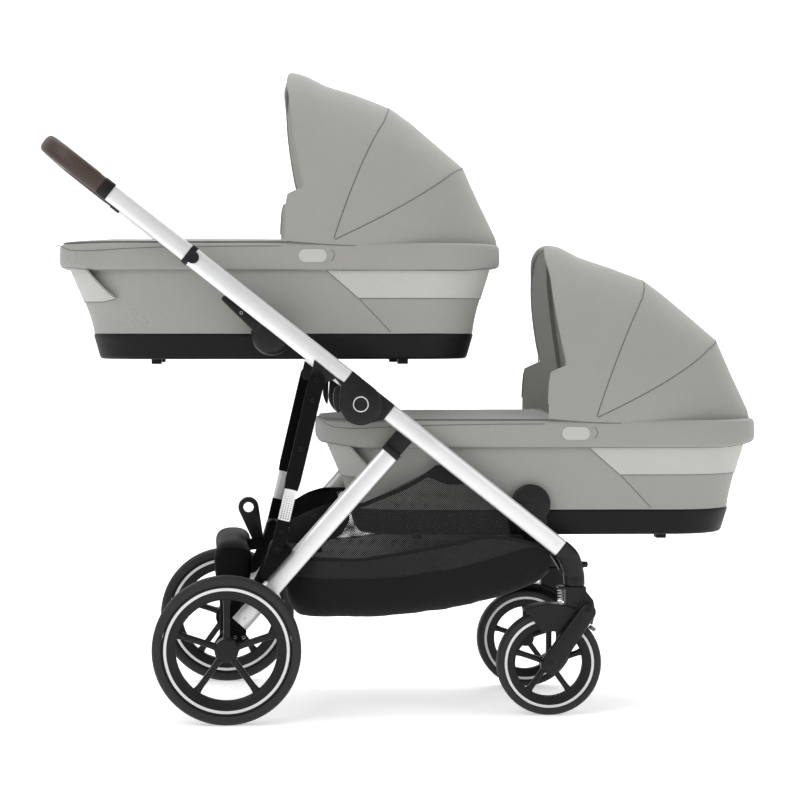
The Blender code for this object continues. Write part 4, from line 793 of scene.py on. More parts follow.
frontTube = {"top": (-0.0283, 0.6043), "foot": (0.3142, 0.3332), "yTop": 0.245, "yFoot": 0.215,
             "straight": 0.1, "height": 0.0362, "width": 0.02,
             "rivets": [(0.1773, 0.4417), (0.3021, 0.3433)]}
upperTube = {"end": (-0.112, 0.6702), "angle": 141.75, "length": 0.394, "y": 0.268, "height": 0.0386,
             "width": 0.02, "wall": 0.0014, "collar": 0.012, "proud": 0.0015, "rivets": [(-0.1442, 0.696)],
             "buttonInset": 0.014, "buttonRadius": 0.0122, "buttonThick": 0.0034}
legTube = {"pivot": (0.0151, 0.5699), "foot": (-0.3208, 0.1898), "y": 0.245, "height": 0.038, "width": 0.0195,
           "sleeve": 0.0637, "sleeveSolid": 0.0525, "lug": 0.0095, "rivets": [(-0.0383, 0.5057), (-0.3101, 0.2021)]}
hinge = {"centre": (-0.0852, 0.6208), "radius": 0.0404, "inner": 0.2345, "middle": 0.256, "outer": 0.2798,
         "ringOuter": 0.0154, "ringInner": 0.0132, "bracket": [(-0.1755, 0.7078), (-0.1315, 0.672)],
         "bracketFace": 0.2815, "neck": [(-0.14, 0.677), (-0.129, 0.664), (-0.115, 0.648), (-0.106, 0.656)],
         "neckFace": 0.2809, "lever": [(-0.1264, 0.657), (-0.134, 0.6545), (-0.1385, 0.64), (-0.138, 0.622),
                                       (-0.1325, 0.6065), (-0.1285, 0.603), (-0.1272, 0.612), (-0.127, 0.6215)],
         "leverInner": 0.2566, "leverOuter": 0.2756}


def sideTube(name, start, end, height, width, yAt, stations=24, bevel=0.001):
    way = (Vector(end) - Vector(start))
    length = way.length
    way.normalize()
    across = Vector((-way.y, 0, way.x))
    spots = [(0.0, bevel), (bevel / length, 0.0)]
    spots += [(i / stations, 0.0) for i in range(1, stations)]
    spots += [(1 - bevel / length, 0.0), (1.0, bevel)]
    rings = []
    for t, inset in spots:
        p = between(Vector(start), Vector(end), t)
        rings.append(ovalRing((p.x, yAt(t), p.y), across, (0, 1, 0), height - 2 * inset, width - 2 * inset, 48))
    return loftMesh(name, rings)


def frontTubeY(t):
    length = (Vector(frontTube["foot"]) - Vector(frontTube["top"])).length
    bend = frontTube["straight"] / length
    if t <= bend:
        return frontTube["yTop"]
    u = (t - bend) / (1 - bend)
    soft = 0.06
    u = u - soft / 2 if u > soft else u * u / (2 * soft)
    return between(frontTube["yTop"], frontTube["yFoot"], min(1.0, u / (1 - soft / 2)))


def makeFrontTubes():
    slope = Vector(frontTube["foot"]) - Vector(frontTube["top"])
    for label, side in sides.items():
        tube = sideTube("tube", frontTube["top"], frontTube["foot"], frontTube["height"], frontTube["width"],
                        lambda t, side=side: side * frontTubeY(t), 40)
        heads = []
        for x, z in frontTube["rivets"]:
            t = (Vector((x, z)) - Vector(frontTube["top"])).dot(slope) / slope.length_squared
            heads.append(rivetMesh(x, z, frontTubeY(t) + frontTube["width"] / 2, side))
        addPiece(f"frontTube{label}", joinMeshes("tube", [tube] + heads), "chassis", "silver",
                 [f"front_tube_{label.lower()}"])
        angle = math.degrees(math.atan2(slope.y, slope.x))
        back = Vector(frontTube["top"]) - direction(angle) * gap
        outline = hullOutline(arc(hinge["centre"], hinge["radius"], 0, 360, 90)
                              + tubeCorners(back, angle, frontTube["height"]))
        inner = plateMesh("hinge", outline, side * hinge["inner"], side * hinge["middle"], 0.003, 4)
        addPiece(f"hingeInner{label}", inner, "chassis", "plastic", [f"hinge_lower_{label.lower()}"])


def makeUpperTubes():
    way = direction(upperTube["angle"])
    across = Vector((-way.y, 0, way.x))
    start = Vector(upperTube["end"])
    long, high, wide = upperTube["length"], upperTube["height"], upperTube["width"]
    for label, side in sides.items():
        low = label.lower()
        y = side * upperTube["y"]

        def ring(s, grow):
            p = start + way * s
            return ovalRing((p.x, y, p.y), across, (0, 1, 0), high + grow, wide + grow, 48)

        wall = 2 * upperTube["wall"]
        collarFrom = long - upperTube["collar"]
        tube = loftMesh("tube", [ring(0.0, -0.002), ring(0.001, 0.0)]
                        + [ring(s * collarFrom / 12, 0.0) for s in range(1, 13)]
                        + [ring(collarFrom, -wall), ring(0.006, -wall)])
        heads = [rivetMesh(x, z, upperTube["y"] + wide / 2, side) for x, z in upperTube["rivets"]]
        addPiece(f"upperTube{label}", joinMeshes("tube", [tube] + heads), "upper_frame", "silver",
                 [f"upper_tube_{low}"])
        proud = 2 * upperTube["proud"]
        collar = loftMesh("collar", [ring(collarFrom - 0.0006, -wall), ring(collarFrom - 0.0006, proud - 0.0016),
                                     ring(collarFrom + 0.0002, proud), ring(long - 0.0014, proud),
                                     ring(long - 0.0002, proud - 0.002), ring(long, proud - 0.003),
                                     ring(long, -wall)], looped=True)
        addPiece(f"tubeCollar{label}", collar, "upper_frame", "plastic")

        spot = start + way * (long - upperTube["buttonInset"])
        r, thick = upperTube["buttonRadius"], upperTube["buttonThick"]
        profile = [(r - 0.0003, 0.0), (r, 0.0006), (r, thick - 0.0012), (r - 0.0004, thick - 0.0004),
                   (r - 0.0014, thick), (r - 0.0026, thick - 0.0002), (r - 0.0034, thick - 0.0009),
                   (r * 0.35, thick - 0.0012), (0.0, thick - 0.0012)]
        button = latheMesh("button", profile, (spot.x, spot.y), side * (upperTube["y"] + wide / 2 + gap), side, 48)
        addPiece(f"heightButton{label}", button, f"button_{low}", "plastic", [f"height_button_{low}"])

        # outer half of the fold hinge, with a plain ring round its centre
        outline = hullOutline(arc(hinge["centre"], hinge["radius"] + 0.0006, 0, 360, 90)
                              + tubeCorners(start - way * gap, upperTube["angle"], high))
        disc = plateMesh("disc", outline, side * (hinge["middle"] + gap), side * (hinge["outer"] - 0.0022), 0.0022, 4)
        face = latheMesh("face", [(hinge["radius"] - 0.0004, -0.01), (hinge["radius"] - 0.0004, -0.0022),
                                  (hinge["radius"] - 0.001, -0.0008), (hinge["radius"] - 0.0028, 0.0),
                                  (0.0185, 0.0), (0.0178, -0.0005), (0.0, -0.0005)],
                         hinge["centre"], side * hinge["outer"], side, 96)
        bracketIn = upperTube["y"] + wide / 2 + gap
        bracket = roundCorners(hullOutline(hinge["bracket"] + arc(strut["top"], 0.013, 150, 360, 10)), 0.003)
        parts = [disc, face, plateMesh("bracket", bracket, side * bracketIn, side * hinge["bracketFace"], 0.0008),
                 plateMesh("neck", hullOutline(hinge["neck"]), side * (bracketIn + 0.0002), side * hinge["neckFace"])]
        addPiece(f"hingeOuter{label}", joinMeshes("hinge", parts), "upper_frame", "plastic", [f"hinge_upper_{low}"])
        ringPiece = ringMesh(*hinge["centre"], hinge["outer"] - 0.0004, side, hinge["ringOuter"],
                             hinge["ringInner"], 0.001)
        addPiece(f"hingeRing{label}", ringPiece, "upper_frame", "steel")

        trigger = plateMesh("trigger", roundCorners(hinge["lever"], 0.005), side * hinge["leverInner"],
                            side * hinge["leverOuter"], 0.0016, 3)
        addPiece(f"foldTrigger{label}", trigger, f"trigger_{low}", "plastic", [f"fold_trigger_{low}"])


def makeRearLegs():
    way, angle = wayAndAngle(legTube["pivot"], legTube["foot"])
    start = Vector(legTube["pivot"]) + way * (legTube["sleeve"] + gap)
    face = frontTube["yTop"] - frontTube["width"] / 2 - gap
    for label, side in sides.items():
        tube = sideTube("tube", start, legTube["foot"], legTube["height"], legTube["width"],
                        lambda t, side=side: side * legTube["y"], 24)
        heads = [rivetMesh(x, z, legTube["y"] + legTube["width"] / 2, side) for x, z in legTube["rivets"]]
        addPiece(f"rearLeg{label}", joinMeshes("tube", [tube] + heads), "rear_frame", "silver",
                 [f"rear_leg_{label.lower()}"])
        sleeveEnd = Vector(legTube["pivot"]) + way * legTube["sleeve"]
        sleeveMid = Vector(legTube["pivot"]) + way * legTube["sleeveSolid"]
        lug = hullOutline(arc(legTube["pivot"], legTube["height"] / 2 - 0.0005, 0, 360, 60)
                          + tubeCorners(sleeveEnd, angle, legTube["height"] - 0.001))
        block = hullOutline(tubeCorners(sleeveMid, angle, legTube["height"])
                            + tubeCorners(sleeveEnd, angle, legTube["height"]))
        sleeve = joinMeshes("sleeve", [
            plateMesh("lug", lug, side * (face - legTube["lug"]), side * face, 0.0015),
            plateMesh("block", block, side * (face - 0.5 * legTube["lug"]), side * (legTube["y"] + 0.00975), 0.0018),
        ])
        addPiece(f"legSleeve{label}", sleeve, "rear_frame", "plastic", [f"leg_sleeve_{label.lower()}"])


# handle

handle = {"reach": 0.343, "insert": 0.13, "bend": 0.06, "gripFrom": 0.212, "gripHeight": 0.0372,
          "gripWidth": 0.027, "collarFrom": 0.188, "collarHeight": 0.0385, "collarWidth": 0.025,
          "seamRadius": 0.0007, "stitchLength": 0.0055, "stitchRadius": 0.00055}


def handlePath(start, bendSteps=16, straightSteps=10):
    y, bend = upperTube["y"], handle["bend"]
    stop = handle["reach"] - bend
    half = [(between(start, stop, i / straightSteps), y) for i in range(straightSteps)]
    half += [(p.x, p.y) for p in arc((stop, y - bend), bend, 90, 0, bendSteps)]
    middle = [(handle["reach"], (y - bend) * (1 - i / 9)) for i in range(1, 9)]
    path = half + middle + [(handle["reach"], 0.0)]
    return path + [(s, -yy) for s, yy in reversed(path[:-1])]


def handleRings(points, sizeAt, count=40):
    way = direction(upperTube["angle"])
    top = Vector(upperTube["end"]) + way * upperTube["length"]
    along = Vector((way.x, 0, way.y))
    across = Vector((-way.y, 0, way.x))
    rings = []
    for i, (s, y) in enumerate(points):
        before, after = points[max(0, i - 1)], points[min(len(points) - 1, i + 1)]
        heading = Vector((after[0] - before[0], after[1] - before[1])).normalized()
        sideways = along * (-heading.y) + Vector((0, 1, 0)) * heading.x
        centre = Vector((top.x, 0, top.y)) + along * s + Vector((0, y, 0))
        high, wide = sizeAt(i)
        rings.append(ovalRing(centre, across, sideways, high, wide, count))
    return rings


def makeHandle():
    high = upperTube["height"] - 2 * upperTube["wall"] - 2 * gap
    wide = upperTube["width"] - 2 * upperTube["wall"] - 2 * gap
    bar = loftMesh("bar", handleRings(handlePath(-handle["insert"]), lambda i: (high, wide)))
    addPiece("handleBar", bar, "handle", "silver", ["handle_bar"])

    path = handlePath(handle["gripFrom"], 18, 6)
    last = len(path) - 1

    def gripSize(i):
        ends = min(i, last - i)
        swell = {0: -0.0034, 1: -0.0006}.get(ends, 0.0)
        return handle["gripHeight"] + swell, handle["gripWidth"] + swell

    outer = handleRings(path, gripSize)
    inner = handleRings(path, lambda i: (high + 2 * gap, wide + 2 * gap))
    grip = loftMesh("grip", outer + inner[::-1], looped=True)
    addPiece("handleGrip", grip, "handle", "leather", ["handle_grip"])

    # sewn seam with its stitches on the inner side of the grip
    seam = [sum((ring[k] for k in (18, 19, 20, 21)), Vector()) / 4 for ring in outer[1:-1]]
    stitches = [sweepTube("seam", seam, handle["seamRadius"], 6)]
    under = [(outer[i][24], outer[i + 1][24]) for i in range(1, len(outer) - 2)]
    upper = [(outer[i][15], outer[i + 1][15]) for i in range(1, len(outer) - 2)]
    for chain in (under, upper):
        for a, b in chain:
            pieces = max(1, int((b - a).length / handle["stitchLength"]))
            for k in range(pieces):
                ends = [a.lerp(b, (k + share) / pieces) for share in (0.15, 0.75)]
                stitches.append(sweepTube("stitch", ends, handle["stitchRadius"], 5))
    addPiece("gripSeam", joinMeshes("seam", stitches), "handle", "leather")

    collars = []
    for mirror in (1, -1):
        reach = handle["gripFrom"] - 0.0004 - handle["collarFrom"]
        points = [(handle["collarFrom"] + t * reach, mirror * upperTube["y"]) for t in (0.0, 0.03, 0.1, 0.9, 0.97, 1.0)]
        inset = [-0.0022, -0.0006, 0.0, 0.0, -0.0006, -0.002]
        rings = handleRings(points, lambda i: (handle["collarHeight"] + inset[i], handle["collarWidth"] + inset[i]))
        core = handleRings(points, lambda i: (high + gap, wide + gap))
        collars.append(loftMesh("collar", rings + core[::-1], looped=True))
    addPiece("gripCollars", joinMeshes("collars", collars), "handle", "plastic")


# struts

strut = {"top": (-0.1711, 0.6678), "foot": (-0.2479, 0.3421), "inner": 0.2818, "thick": 0.018,
         "length": 0.2174, "height": 0.031, "rodHeight": 0.0235, "rodWidth": 0.011, "insert": 0.14,
         "endLength": 0.056, "endWidth": 0.015, "screwsAt": [0.0, 0.0395, 0.137], "holeRows": 13, "holeColumns": 4,
         # distance from the top and height, at both ends of the cover and of the band
         "cover": [(0.03, 0.0225), (0.188, 0.0215)], "band": [(0.1985, 0.029), (0.203, 0.029)],
         "headRadius": 0.0105, "holePitch": 0.0047, "holeSizes": (0.0006, 0.0013), "shoeScrewAt": 0.0345}


def makeStruts():
    top, foot = Vector(strut["top"]), Vector(strut["foot"])
    way, angle = wayAndAngle(top, foot)
    across = Vector((-way.y, way.x))
    total = (foot - top).length
    yMid = strut["inner"] + strut["thick"] / 2
    outerFace = strut["inner"] + strut["thick"]
    for label, side in sides.items():
        low = label.lower()
        end = top + way * strut["length"]
        outline = hullOutline(arc(top, strut["height"] / 2, 0, 360, 80)
                              + tubeCorners(end - way * 0.02, angle, strut["height"] - 0.001)
                              + tubeCorners(end, angle, strut["height"] - 0.004))
        body = plateMesh("sleeve", outline, side * strut["inner"], side * (outerFace - 0.001), 0.0045, 5)
        # raised cover with the adjusting stop under it
        cover, band = [tubeCorners(top + way * s0, angle, h0) + tubeCorners(top + way * s1, angle, h1)[::-1]
                       for (s0, h0), (s1, h1) in (strut["cover"], strut["band"])]
        cover = plateMesh("cover", roundCorners(cover, 0.0045, 6), side * (outerFace - 0.005), side * outerFace,
                          0.0012, 3)
        band = plateMesh("band", roundCorners(band, 0.0012, 3), side * (strut["inner"] + 0.001),
                         side * (outerFace - 0.0004), 0.0008, 2)
        head = plateMesh("head", arc(top, strut["headRadius"], 0, 352, 44), side * (outerFace - 0.005),
                         side * (outerFace - 0.0002), 0.0012, 3)
        addPiece(f"strutSleeve{label}", joinMeshes("sleeve", [body, cover, head, band]), f"strut_sleeve_{low}",
                 "mattePlastic", [f"strut_sleeve_{low}"])
        screws = [screwMesh(*(top + way * s), outerFace, side, 0.0042) for s in strut["screwsAt"]]
        addPiece(f"strutScrews{label}", joinMeshes("screws", screws), f"strut_sleeve_{low}", "plastic")

        high, wide = strut["rodHeight"], strut["rodWidth"]
        silver = []
        for s in (strut["length"] - strut["insert"], total - strut["endLength"]):
            p = top + way * s
            silver.append(ovalRing((p.x, side * yMid, p.y), (across.x, 0, across.y), (0, 1, 0), high, wide, 40, 3.0))
        rod = loftMesh("rod", silver)
        addPiece(f"strutRod{label}", rod, f"strut_rod_{low}", "silver", [f"strut_rod_{low}"])
        # painted shade: dark dots on the rod stand in for the shade inside its holes
        dots = []
        first, lastHole = strut["length"] + 0.006, total - strut["endLength"] - 0.0045
        for row in range(strut["holeRows"]):
            share = row / (strut["holeRows"] - 1)
            s, size = between(first, lastHole, share), between(*strut["holeSizes"], share)
            for column in range(strut["holeColumns"]):
                p = top + way * s + across * ((column - (strut["holeColumns"] - 1) / 2) * strut["holePitch"])
                dots.append(latheMesh("dot", [(size, -0.0005), (size, 0.00012), (0.0, 0.00012)], (p.x, p.y),
                                      side * (yMid + wide / 2), side, 10))
        addPiece(f"rodHoleShade{label}", joinMeshes("dots", dots), f"strut_rod_{low}", "holeShade", slot="aluminium")
        shoe = hullOutline(tubeCorners(top + way * (total - strut["endLength"]), angle, high + 0.001)
                           + arc(foot, (high + 0.001) / 2, 0, 360, 60))
        shoeFace = yMid + strut["endWidth"] / 2
        shoePiece = plateMesh("shoe", shoe, side * (yMid - strut["endWidth"] / 2), side * shoeFace, 0.003, 4)
        addPiece(f"rodShoe{label}", shoePiece, f"strut_rod_{low}", "mattePlastic")
        screws = [screwMesh(*(top + way * s), shoeFace, side, 0.0034) for s in (total, total - strut["shoeScrewAt"])]
        addPiece(f"shoeScrews{label}", joinMeshes("screws", screws), f"strut_rod_{low}", "plastic", slot="steel")


# rear bridge and pedal

bridge = {"rearAxle": (-0.346, 0.145), "x": -0.3335, "armY": 0.2215, "crest": 0.326, "voxel": 0.0017,
          "rounds": 9, "pedalPivot": (-0.279, 0.326), "pedalEye": (-0.3015, 0.4006), "eyeRadius": 0.021,
          "eyeHole": 0.0102, "pedalHalf": 0.01, "axleRadius": 0.006,
          "housingScrews": [(-0.3296, 0.1649), (-0.313, 0.1648)], "housing": (0.2345, 0.256),
          "boss": (0.208, 0.2622), "bossRadius": 0.018, "pin": (0.23, 0.303), "gussetDepth": (0.21, 0.2343),
          "lug": (0.215, 0.2815), "lugFrom": 0.098, "lugTo": 0.178, "earThick": 0.006,
          "gusset": [(-0.31, 0.238), (-0.2854, 0.244), (-0.274, 0.257), (-0.215, 0.328),
                     (-0.226, 0.34), (-0.2577, 0.344), (-0.282, 0.29)]}


def bridgeRings():
    axle = bridge["rearAxle"]
    arm = bridge["armY"]
    half = [(arm, axle[1] - 0.01, 0.03, 0.024), (arm, 0.2, 0.038, 0.024), (arm - 0.002, 0.248, 0.052, 0.026),
            (arm - 0.008, 0.286, 0.07, 0.034), (arm - 0.029, 0.315, 0.074, 0.044), (arm - 0.07, 0.3235, 0.068, 0.046),
            (arm - 0.1315, 0.325, 0.062, 0.046), (0.0, bridge["crest"], 0.06, 0.048)]
    stations = half + [(-y, z, w, t) for y, z, w, t in reversed(half[:-1])]
    reach = [0.0]
    for a, b in zip(stations, stations[1:]):
        reach.append(reach[-1] + math.hypot(b[0] - a[0], b[1] - a[1]))
    tables = [list(zip(reach, [s[k] for s in stations])) for k in range(4)]
    spots = [reach[-1] * i / 60 for i in range(61)]
    line = [tuple(smoothLookup(table, s) for table in tables) for s in spots]
    rings = []
    for i, (y, z, wide, thick) in enumerate(line):
        a, b = line[max(0, i - 1)], line[min(60, i + 1)]
        heading = Vector((0, b[0] - a[0], b[1] - a[1])).normalized()
        x = between(axle[0], bridge["x"], min(1.0, (z - axle[1]) / 0.12))
        rings.append(ovalRing((x, y, z), (1, 0, 0), heading.cross(Vector((1, 0, 0))), wide, thick, 36, 2.4))
    return rings


def depths(side, key):
    return tuple(side * y for y in bridge[key])


def makeBridge():
    way, angle = wayAndAngle(legTube["pivot"], legTube["foot"])
    axle = bridge["rearAxle"]
    parts = [loftMesh("arch", bridgeRings())]
    screws, pins = [], []
    for side in sides.values():
        foot = Vector(legTube["foot"]) + way * gap
        housing = hullOutline(arc(axle, 0.025, 0, 360, 50) + tubeCorners(foot, angle, legTube["height"])
                              + [(-0.309, 0.16)])
        parts.append(plateMesh("housing", housing, *depths(side, "housing")))
        boss, pin = [[(axle[0], y, axle[1]) for y in depths(side, key)] for key in ("boss", "pin")]
        parts.append(rodMesh("boss", *boss, bridge["bossRadius"], 40))
        parts.append(plateMesh("gusset", hullOutline(bridge["gusset"]), *depths(side, "gussetDepth")))
        normal = direction(angle - 90)
        normal = -normal if normal.y < 0 else normal
        edge = legTube["height"] / 2 + gap
        lowA, lowB = [Vector(legTube["foot"]) - way * bridge[key] + normal * edge for key in ("lugFrom", "lugTo")]
        lug = hullOutline([lowA, lowB, lowA + normal * 0.012] + arc(strut["foot"], 0.014, 0, 360, 40))
        parts.append(plateMesh("lug", lug, *depths(side, "lug")))
        ear = hullOutline(arc(bridge["pedalPivot"], 0.011, 0, 360, 30) + [(-0.32, 0.31), (-0.318, 0.332)])
        parts.append(plateMesh("ear", ear, side * (bridge["pedalHalf"] + gap),
                               side * (bridge["pedalHalf"] + bridge["earThick"])))
        pins.append(rodMesh("axle", *pin, bridge["axleRadius"], 24))
        screws += [screwMesh(x, z, bridge["housing"][1], side, 0.0034) for x, z in bridge["housingScrews"]]
    moulding = fuse("bridge", parts, bridge["voxel"], bridge["rounds"])
    addPiece("rearBridge", joinMeshes("bridge", [moulding]), "rear_frame", "mattePlastic", ["rear_bridge"], 60)
    addPiece("rearAxles", joinMeshes("axles", pins), "rear_frame", "steel")
    addPiece("housingScrews", joinMeshes("screws", screws), "rear_frame", "steel")

    # pedal: a long tab with a round hole, narrowing towards its pivot
    pivot, eye = Vector(bridge["pedalPivot"]), Vector(bridge["pedalEye"])
    outline = hullOutline(arc(eye, bridge["eyeRadius"], 0, 360, 60) + arc(between(pivot, eye, 0.35), 0.0125, 0, 360, 40)
                          + arc(pivot, 0.0098, 0, 360, 40))
    half = bridge["pedalHalf"] - 0.0004
    count = 96
    outer, ringHole = [], []
    for i in range(count):
        d = direction(360 * i / count)
        best = 0.0
        for a, b in zip(outline, outline[1:] + outline[:1]):
            e = b - a
            det = d.x * -e.y - d.y * -e.x
            if abs(det) < 1e-12:
                continue
            t = ((a.x - eye.x) * -e.y - (a.y - eye.y) * -e.x) / det
            u = (d.x * (a.y - eye.y) - d.y * (a.x - eye.x)) / det
            if t > 0 and -1e-6 <= u <= 1 + 1e-6:
                best = max(best, t)
        outer.append(eye + d * best)
        ringHole.append(eye + d * bridge["eyeHole"])
    rings = []
    for inset, y in ((0.003, -half), (0.001, -half + 0.0008), (0.0, -half + 0.0028), (0.0, half - 0.0028),
                     (0.001, half - 0.0008), (0.003, half)):
        rings.append([Vector((p.x, y, p.y)) for p in [q + (eye - q).normalized() * inset for q in outer]])
    for grow, y in ((0.0016, half), (0.0003, half - 0.0014), (0.0003, -half + 0.0014), (0.0016, -half)):
        rings.append([Vector((p.x, y, p.y)) for p in [eye + (q - eye).normalized() * (bridge["eyeHole"] + grow)
                                                      for q in ringHole]])
    addPiece("brakePedal", loftMesh("pedal", rings, looped=True), "pedal", "plastic", ["brake_pedal"])


# wheels

rearWheel = {"kind": "rear", "centre": (-0.346, 0.145), "y": 0.291, "radius": 0.145, "width": 0.042,
             "bore": 0.127, "rimBore": 0.0985, "hub": 0.0235, "hubFrom": 0.2625, "hubTo": 0.311, "hubSunk": 0.004,
             "ring": (0.1165, 0.1222), "spokeHub": 0.0225, "spokeMid": 0.0128, "spokeRim": 0.0185, "voxel": 0.0012}
frontWheel = {"kind": "front", "centre": (0.294, 0.104), "y": 0.19, "radius": 0.104, "width": 0.036,
              "bore": 0.09, "rimBore": 0.0672, "hub": 0.018, "hubFrom": 0.174, "hubTo": 0.2117, "hubSunk": 0.0,
              "ring": (0.0838, 0.0893), "spokeHub": 0.019, "spokeMid": 0.0115, "spokeRim": 0.0165, "voxel": 0.0011}


def makeWheel(wheel, label, side):
    low, kind = label.lower(), wheel["kind"]
    body = f"{kind}_wheel_{low}"
    centre, yMid = wheel["centre"], side * wheel["y"]
    half, radius, bore = wheel["width"] / 2, wheel["radius"], wheel["bore"]
    wall = radius - bore
    count = 128
    # tyre: rounded shoulders, a flat tread with fine grooves round it
    right = [(bore, half * 0.8), (bore + 0.12 * wall, half * 0.9), (bore + 0.35 * wall, half * 0.985),
             (bore + 0.55 * wall, half), (bore + 0.72 * wall, half * 0.965), (bore + 0.86 * wall, half * 0.84),
             (bore + 0.95 * wall, half * 0.7), (radius - 0.0003, half * 0.58)]
    for share in (0.42, 0.22):
        right += [(radius, half * (share + 0.06)), (radius, half * (share + 0.015)),
                  (radius - 0.001, half * share), (radius, half * (share - 0.015))]
    profile = [(r, -y) for r, y in right] + right[::-1]
    tyre = latheMesh("tyre", profile, centre, yMid, side, count, looped=True)
    addPiece(f"{kind}Tyre{label}", tyre, body, "rubber", [f"{kind}_tyre_{low}"], 28)

    seat = bore - gap
    rimBore = wheel["rimBore"]
    deep = half * 0.7
    lip = [(rimBore + 0.0012, deep * 0.3), (rimBore, deep * 0.42), (rimBore, deep * 0.6),
           (rimBore + 0.0012, deep * 0.7), (rimBore + 0.005, deep * 0.8),
           (wheel["ring"][0] - 0.003, deep * 0.93), (wheel["ring"][0] - 0.0006, deep),
           (wheel["ring"][1] + 0.0012, deep + 0.0004), (seat - 0.0012, deep + 0.001), (seat, deep - 0.0002)]
    rim = latheMesh("rim", [(r, -y) for r, y in lip] + lip[::-1], centre, yMid, side, count, looped=True)
    # star: hub with five flared spokes, run into one moulding
    hub = wheel["hub"]
    inner, outer = wheel["hubFrom"] - wheel["y"], wheel["hubTo"] - wheel["y"]
    sunk = wheel["hubSunk"]
    hubProfile = [(0.0, inner), (hub * 0.78, inner), (hub, inner + 0.003), (hub, outer - 0.005),
                  (hub * 0.88, outer - sunk - 0.0006), (hub * 0.6, outer - sunk), (0.0, outer - sunk)]
    parts = [latheMesh("hub", hubProfile, centre, yMid, side, 48)]
    for k in range(5):
        out = direction(90 + 72 * k)
        across = Vector((-out.y, 0, out.x))
        rings = []
        reachRim = rimBore + 0.002
        for t in [i / 14 for i in range(15)]:
            reach = between(hub * 0.35, reachRim, t)
            nearHub = max(0.0, 1 - t / 0.3) ** 2
            nearRim = max(0.0, (t - 0.8) / 0.2) ** 2
            wide = wheel["spokeMid"] + (wheel["spokeHub"] - wheel["spokeMid"]) * nearHub \
                + (wheel["spokeRim"] - wheel["spokeMid"]) * nearRim
            thick = deep * between(1.45, 1.15, t)
            p = Vector(centre) + out * reach
            rings.append(ovalRing((p.x, yMid + side * (0.0015 - 0.001 * t), p.y), across, (0, 1, 0), wide, thick,
                                  24, 3.0))
        parts.append(loftMesh("spoke", rings))
    star = fuse("star", parts, wheel["voxel"], 8)
    addPiece(f"{kind}Rim{label}", joinMeshes("rim", [rim, star]), body, "wheelPlastic", [f"{kind}_rim_{low}"], 40)
    a, b = wheel["ring"]
    faceY = deep + 0.0001
    tapes = []
    for face in (1, -1):
        tapes.append(latheMesh("tape", [(a, face * (faceY - 0.001)), (a, face * (faceY + 0.0006)),
                                        (a + 0.0006, face * (faceY + 0.0011)), (b - 0.0006, face * (faceY + 0.0013)),
                                        (b, face * (faceY + 0.0009)), (b, face * (faceY - 0.001))],
                               centre, yMid, side, count, looped=True))
    addPiece(f"{kind}Tape{label}", joinMeshes("tape", tapes), body, "tape")


# casters

caster = {"x": 0.345, "split": 0.2567, "y": 0.19, "axle": (0.294, 0.104), "armPivot": (0.3666, 0.2072),
          "armThick": 0.018, "armTop": 0.017, "armFoot": 0.0195, "wheelRadius": 0.104, "guardGap": 0.0115,
          "guardThick": 0.0035, "guardHalf": 0.0214, "guardFrom": 44.0, "guardTo": 116.0, "voxel": 0.0012,
          "springX": 0.317, "springRadius": 0.0052, "springWire": 0.001, "springTurns": 5, "forkHalf": 0.018,
          "armGap": 0.004, "cheekGap": 0.001, "cheekInner": 0.064, "tabHalf": 0.011,
          "tab": [(0.3735, 0.1715), (0.379, 0.1775), (0.388, 0.1715), (0.383, 0.1655)]}


def makeCasterHeads():
    way = (Vector(frontTube["foot"]) - Vector(frontTube["top"])).normalized()
    across = Vector((-way.y, 0, way.x))
    foot = Vector(frontTube["foot"]) + way * gap
    x, split, y = caster["x"], caster["split"], caster["y"]
    parts = []
    for side in sides.values():
        lean = (Vector((1, 0, 0)) + across).normalized()
        keys = [
            ((x, side * y, split), Vector((1, 0, 0)), 0.0415, 0.038, 2.3),
            ((x - 0.0005, side * y, split + 0.012), Vector((1, 0, 0)), 0.042, 0.038, 2.3),
            ((x - 0.002, side * y, split + 0.025), Vector((1, 0, 0)), 0.043, 0.038, 2.3),
            ((x - 0.012, side * (y + 0.012), split + 0.055), lean, 0.043, 0.03, 2.4),
            ((foot.x, side * frontTube["yFoot"], foot.y), across, 0.038, 0.023, 2.6),
        ]
        rings = []
        for i in range(len(keys) - 1):
            a, b = keys[i], keys[i + 1]
            before, after = keys[max(0, i - 1)], keys[min(len(keys) - 1, i + 2)]
            for k in range(8):
                t = k / 8
                points = []
                for j in range(3):
                    p0, p1, p2, p3 = before[0][j], a[0][j], b[0][j], after[0][j]
                    points.append(0.5 * (2 * p1 + (p2 - p0) * t + (2 * p0 - 5 * p1 + 4 * p2 - p3) * t * t
                                         + (3 * p1 - p0 - 3 * p2 + p3) * t ** 3))
                axis = a[1].lerp(b[1], ease(t)).normalized()
                rings.append(ovalRing(points, axis, (0, 1, 0), between(a[2], b[2], ease(t)),
                                      between(a[3], b[3], ease(t)), 40, between(a[4], b[4], t)))
        last = keys[-1]
        rings.append(ovalRing(last[0], last[1], (0, 1, 0), last[2], last[3], 40, last[4]))
        parts.append(loftMesh("head", rings))
        parts.append(rodMesh("lock", (x, side * y, split + 0.043), (x + 0.027, side * y, split + 0.042), 0.0062, 24,
                             0.002))
    beam = []
    for i in range(41):
        share = -1 + i / 20
        rise = 0.02 * (1 - abs(share) ** 1.9)
        beam.append(ovalRing((x - 0.02, share * y, split + 0.033 + rise), (1, 0, 0), (0, 0, 1), 0.022, 0.024,
                             30, 2.3))
    parts.append(loftMesh("beam", beam))
    heads = fuse("heads", parts, 0.0014, 6)
    addPiece("casterHeads", joinMeshes("heads", [heads]), "chassis", "plastic", ["front_beam"], 60)


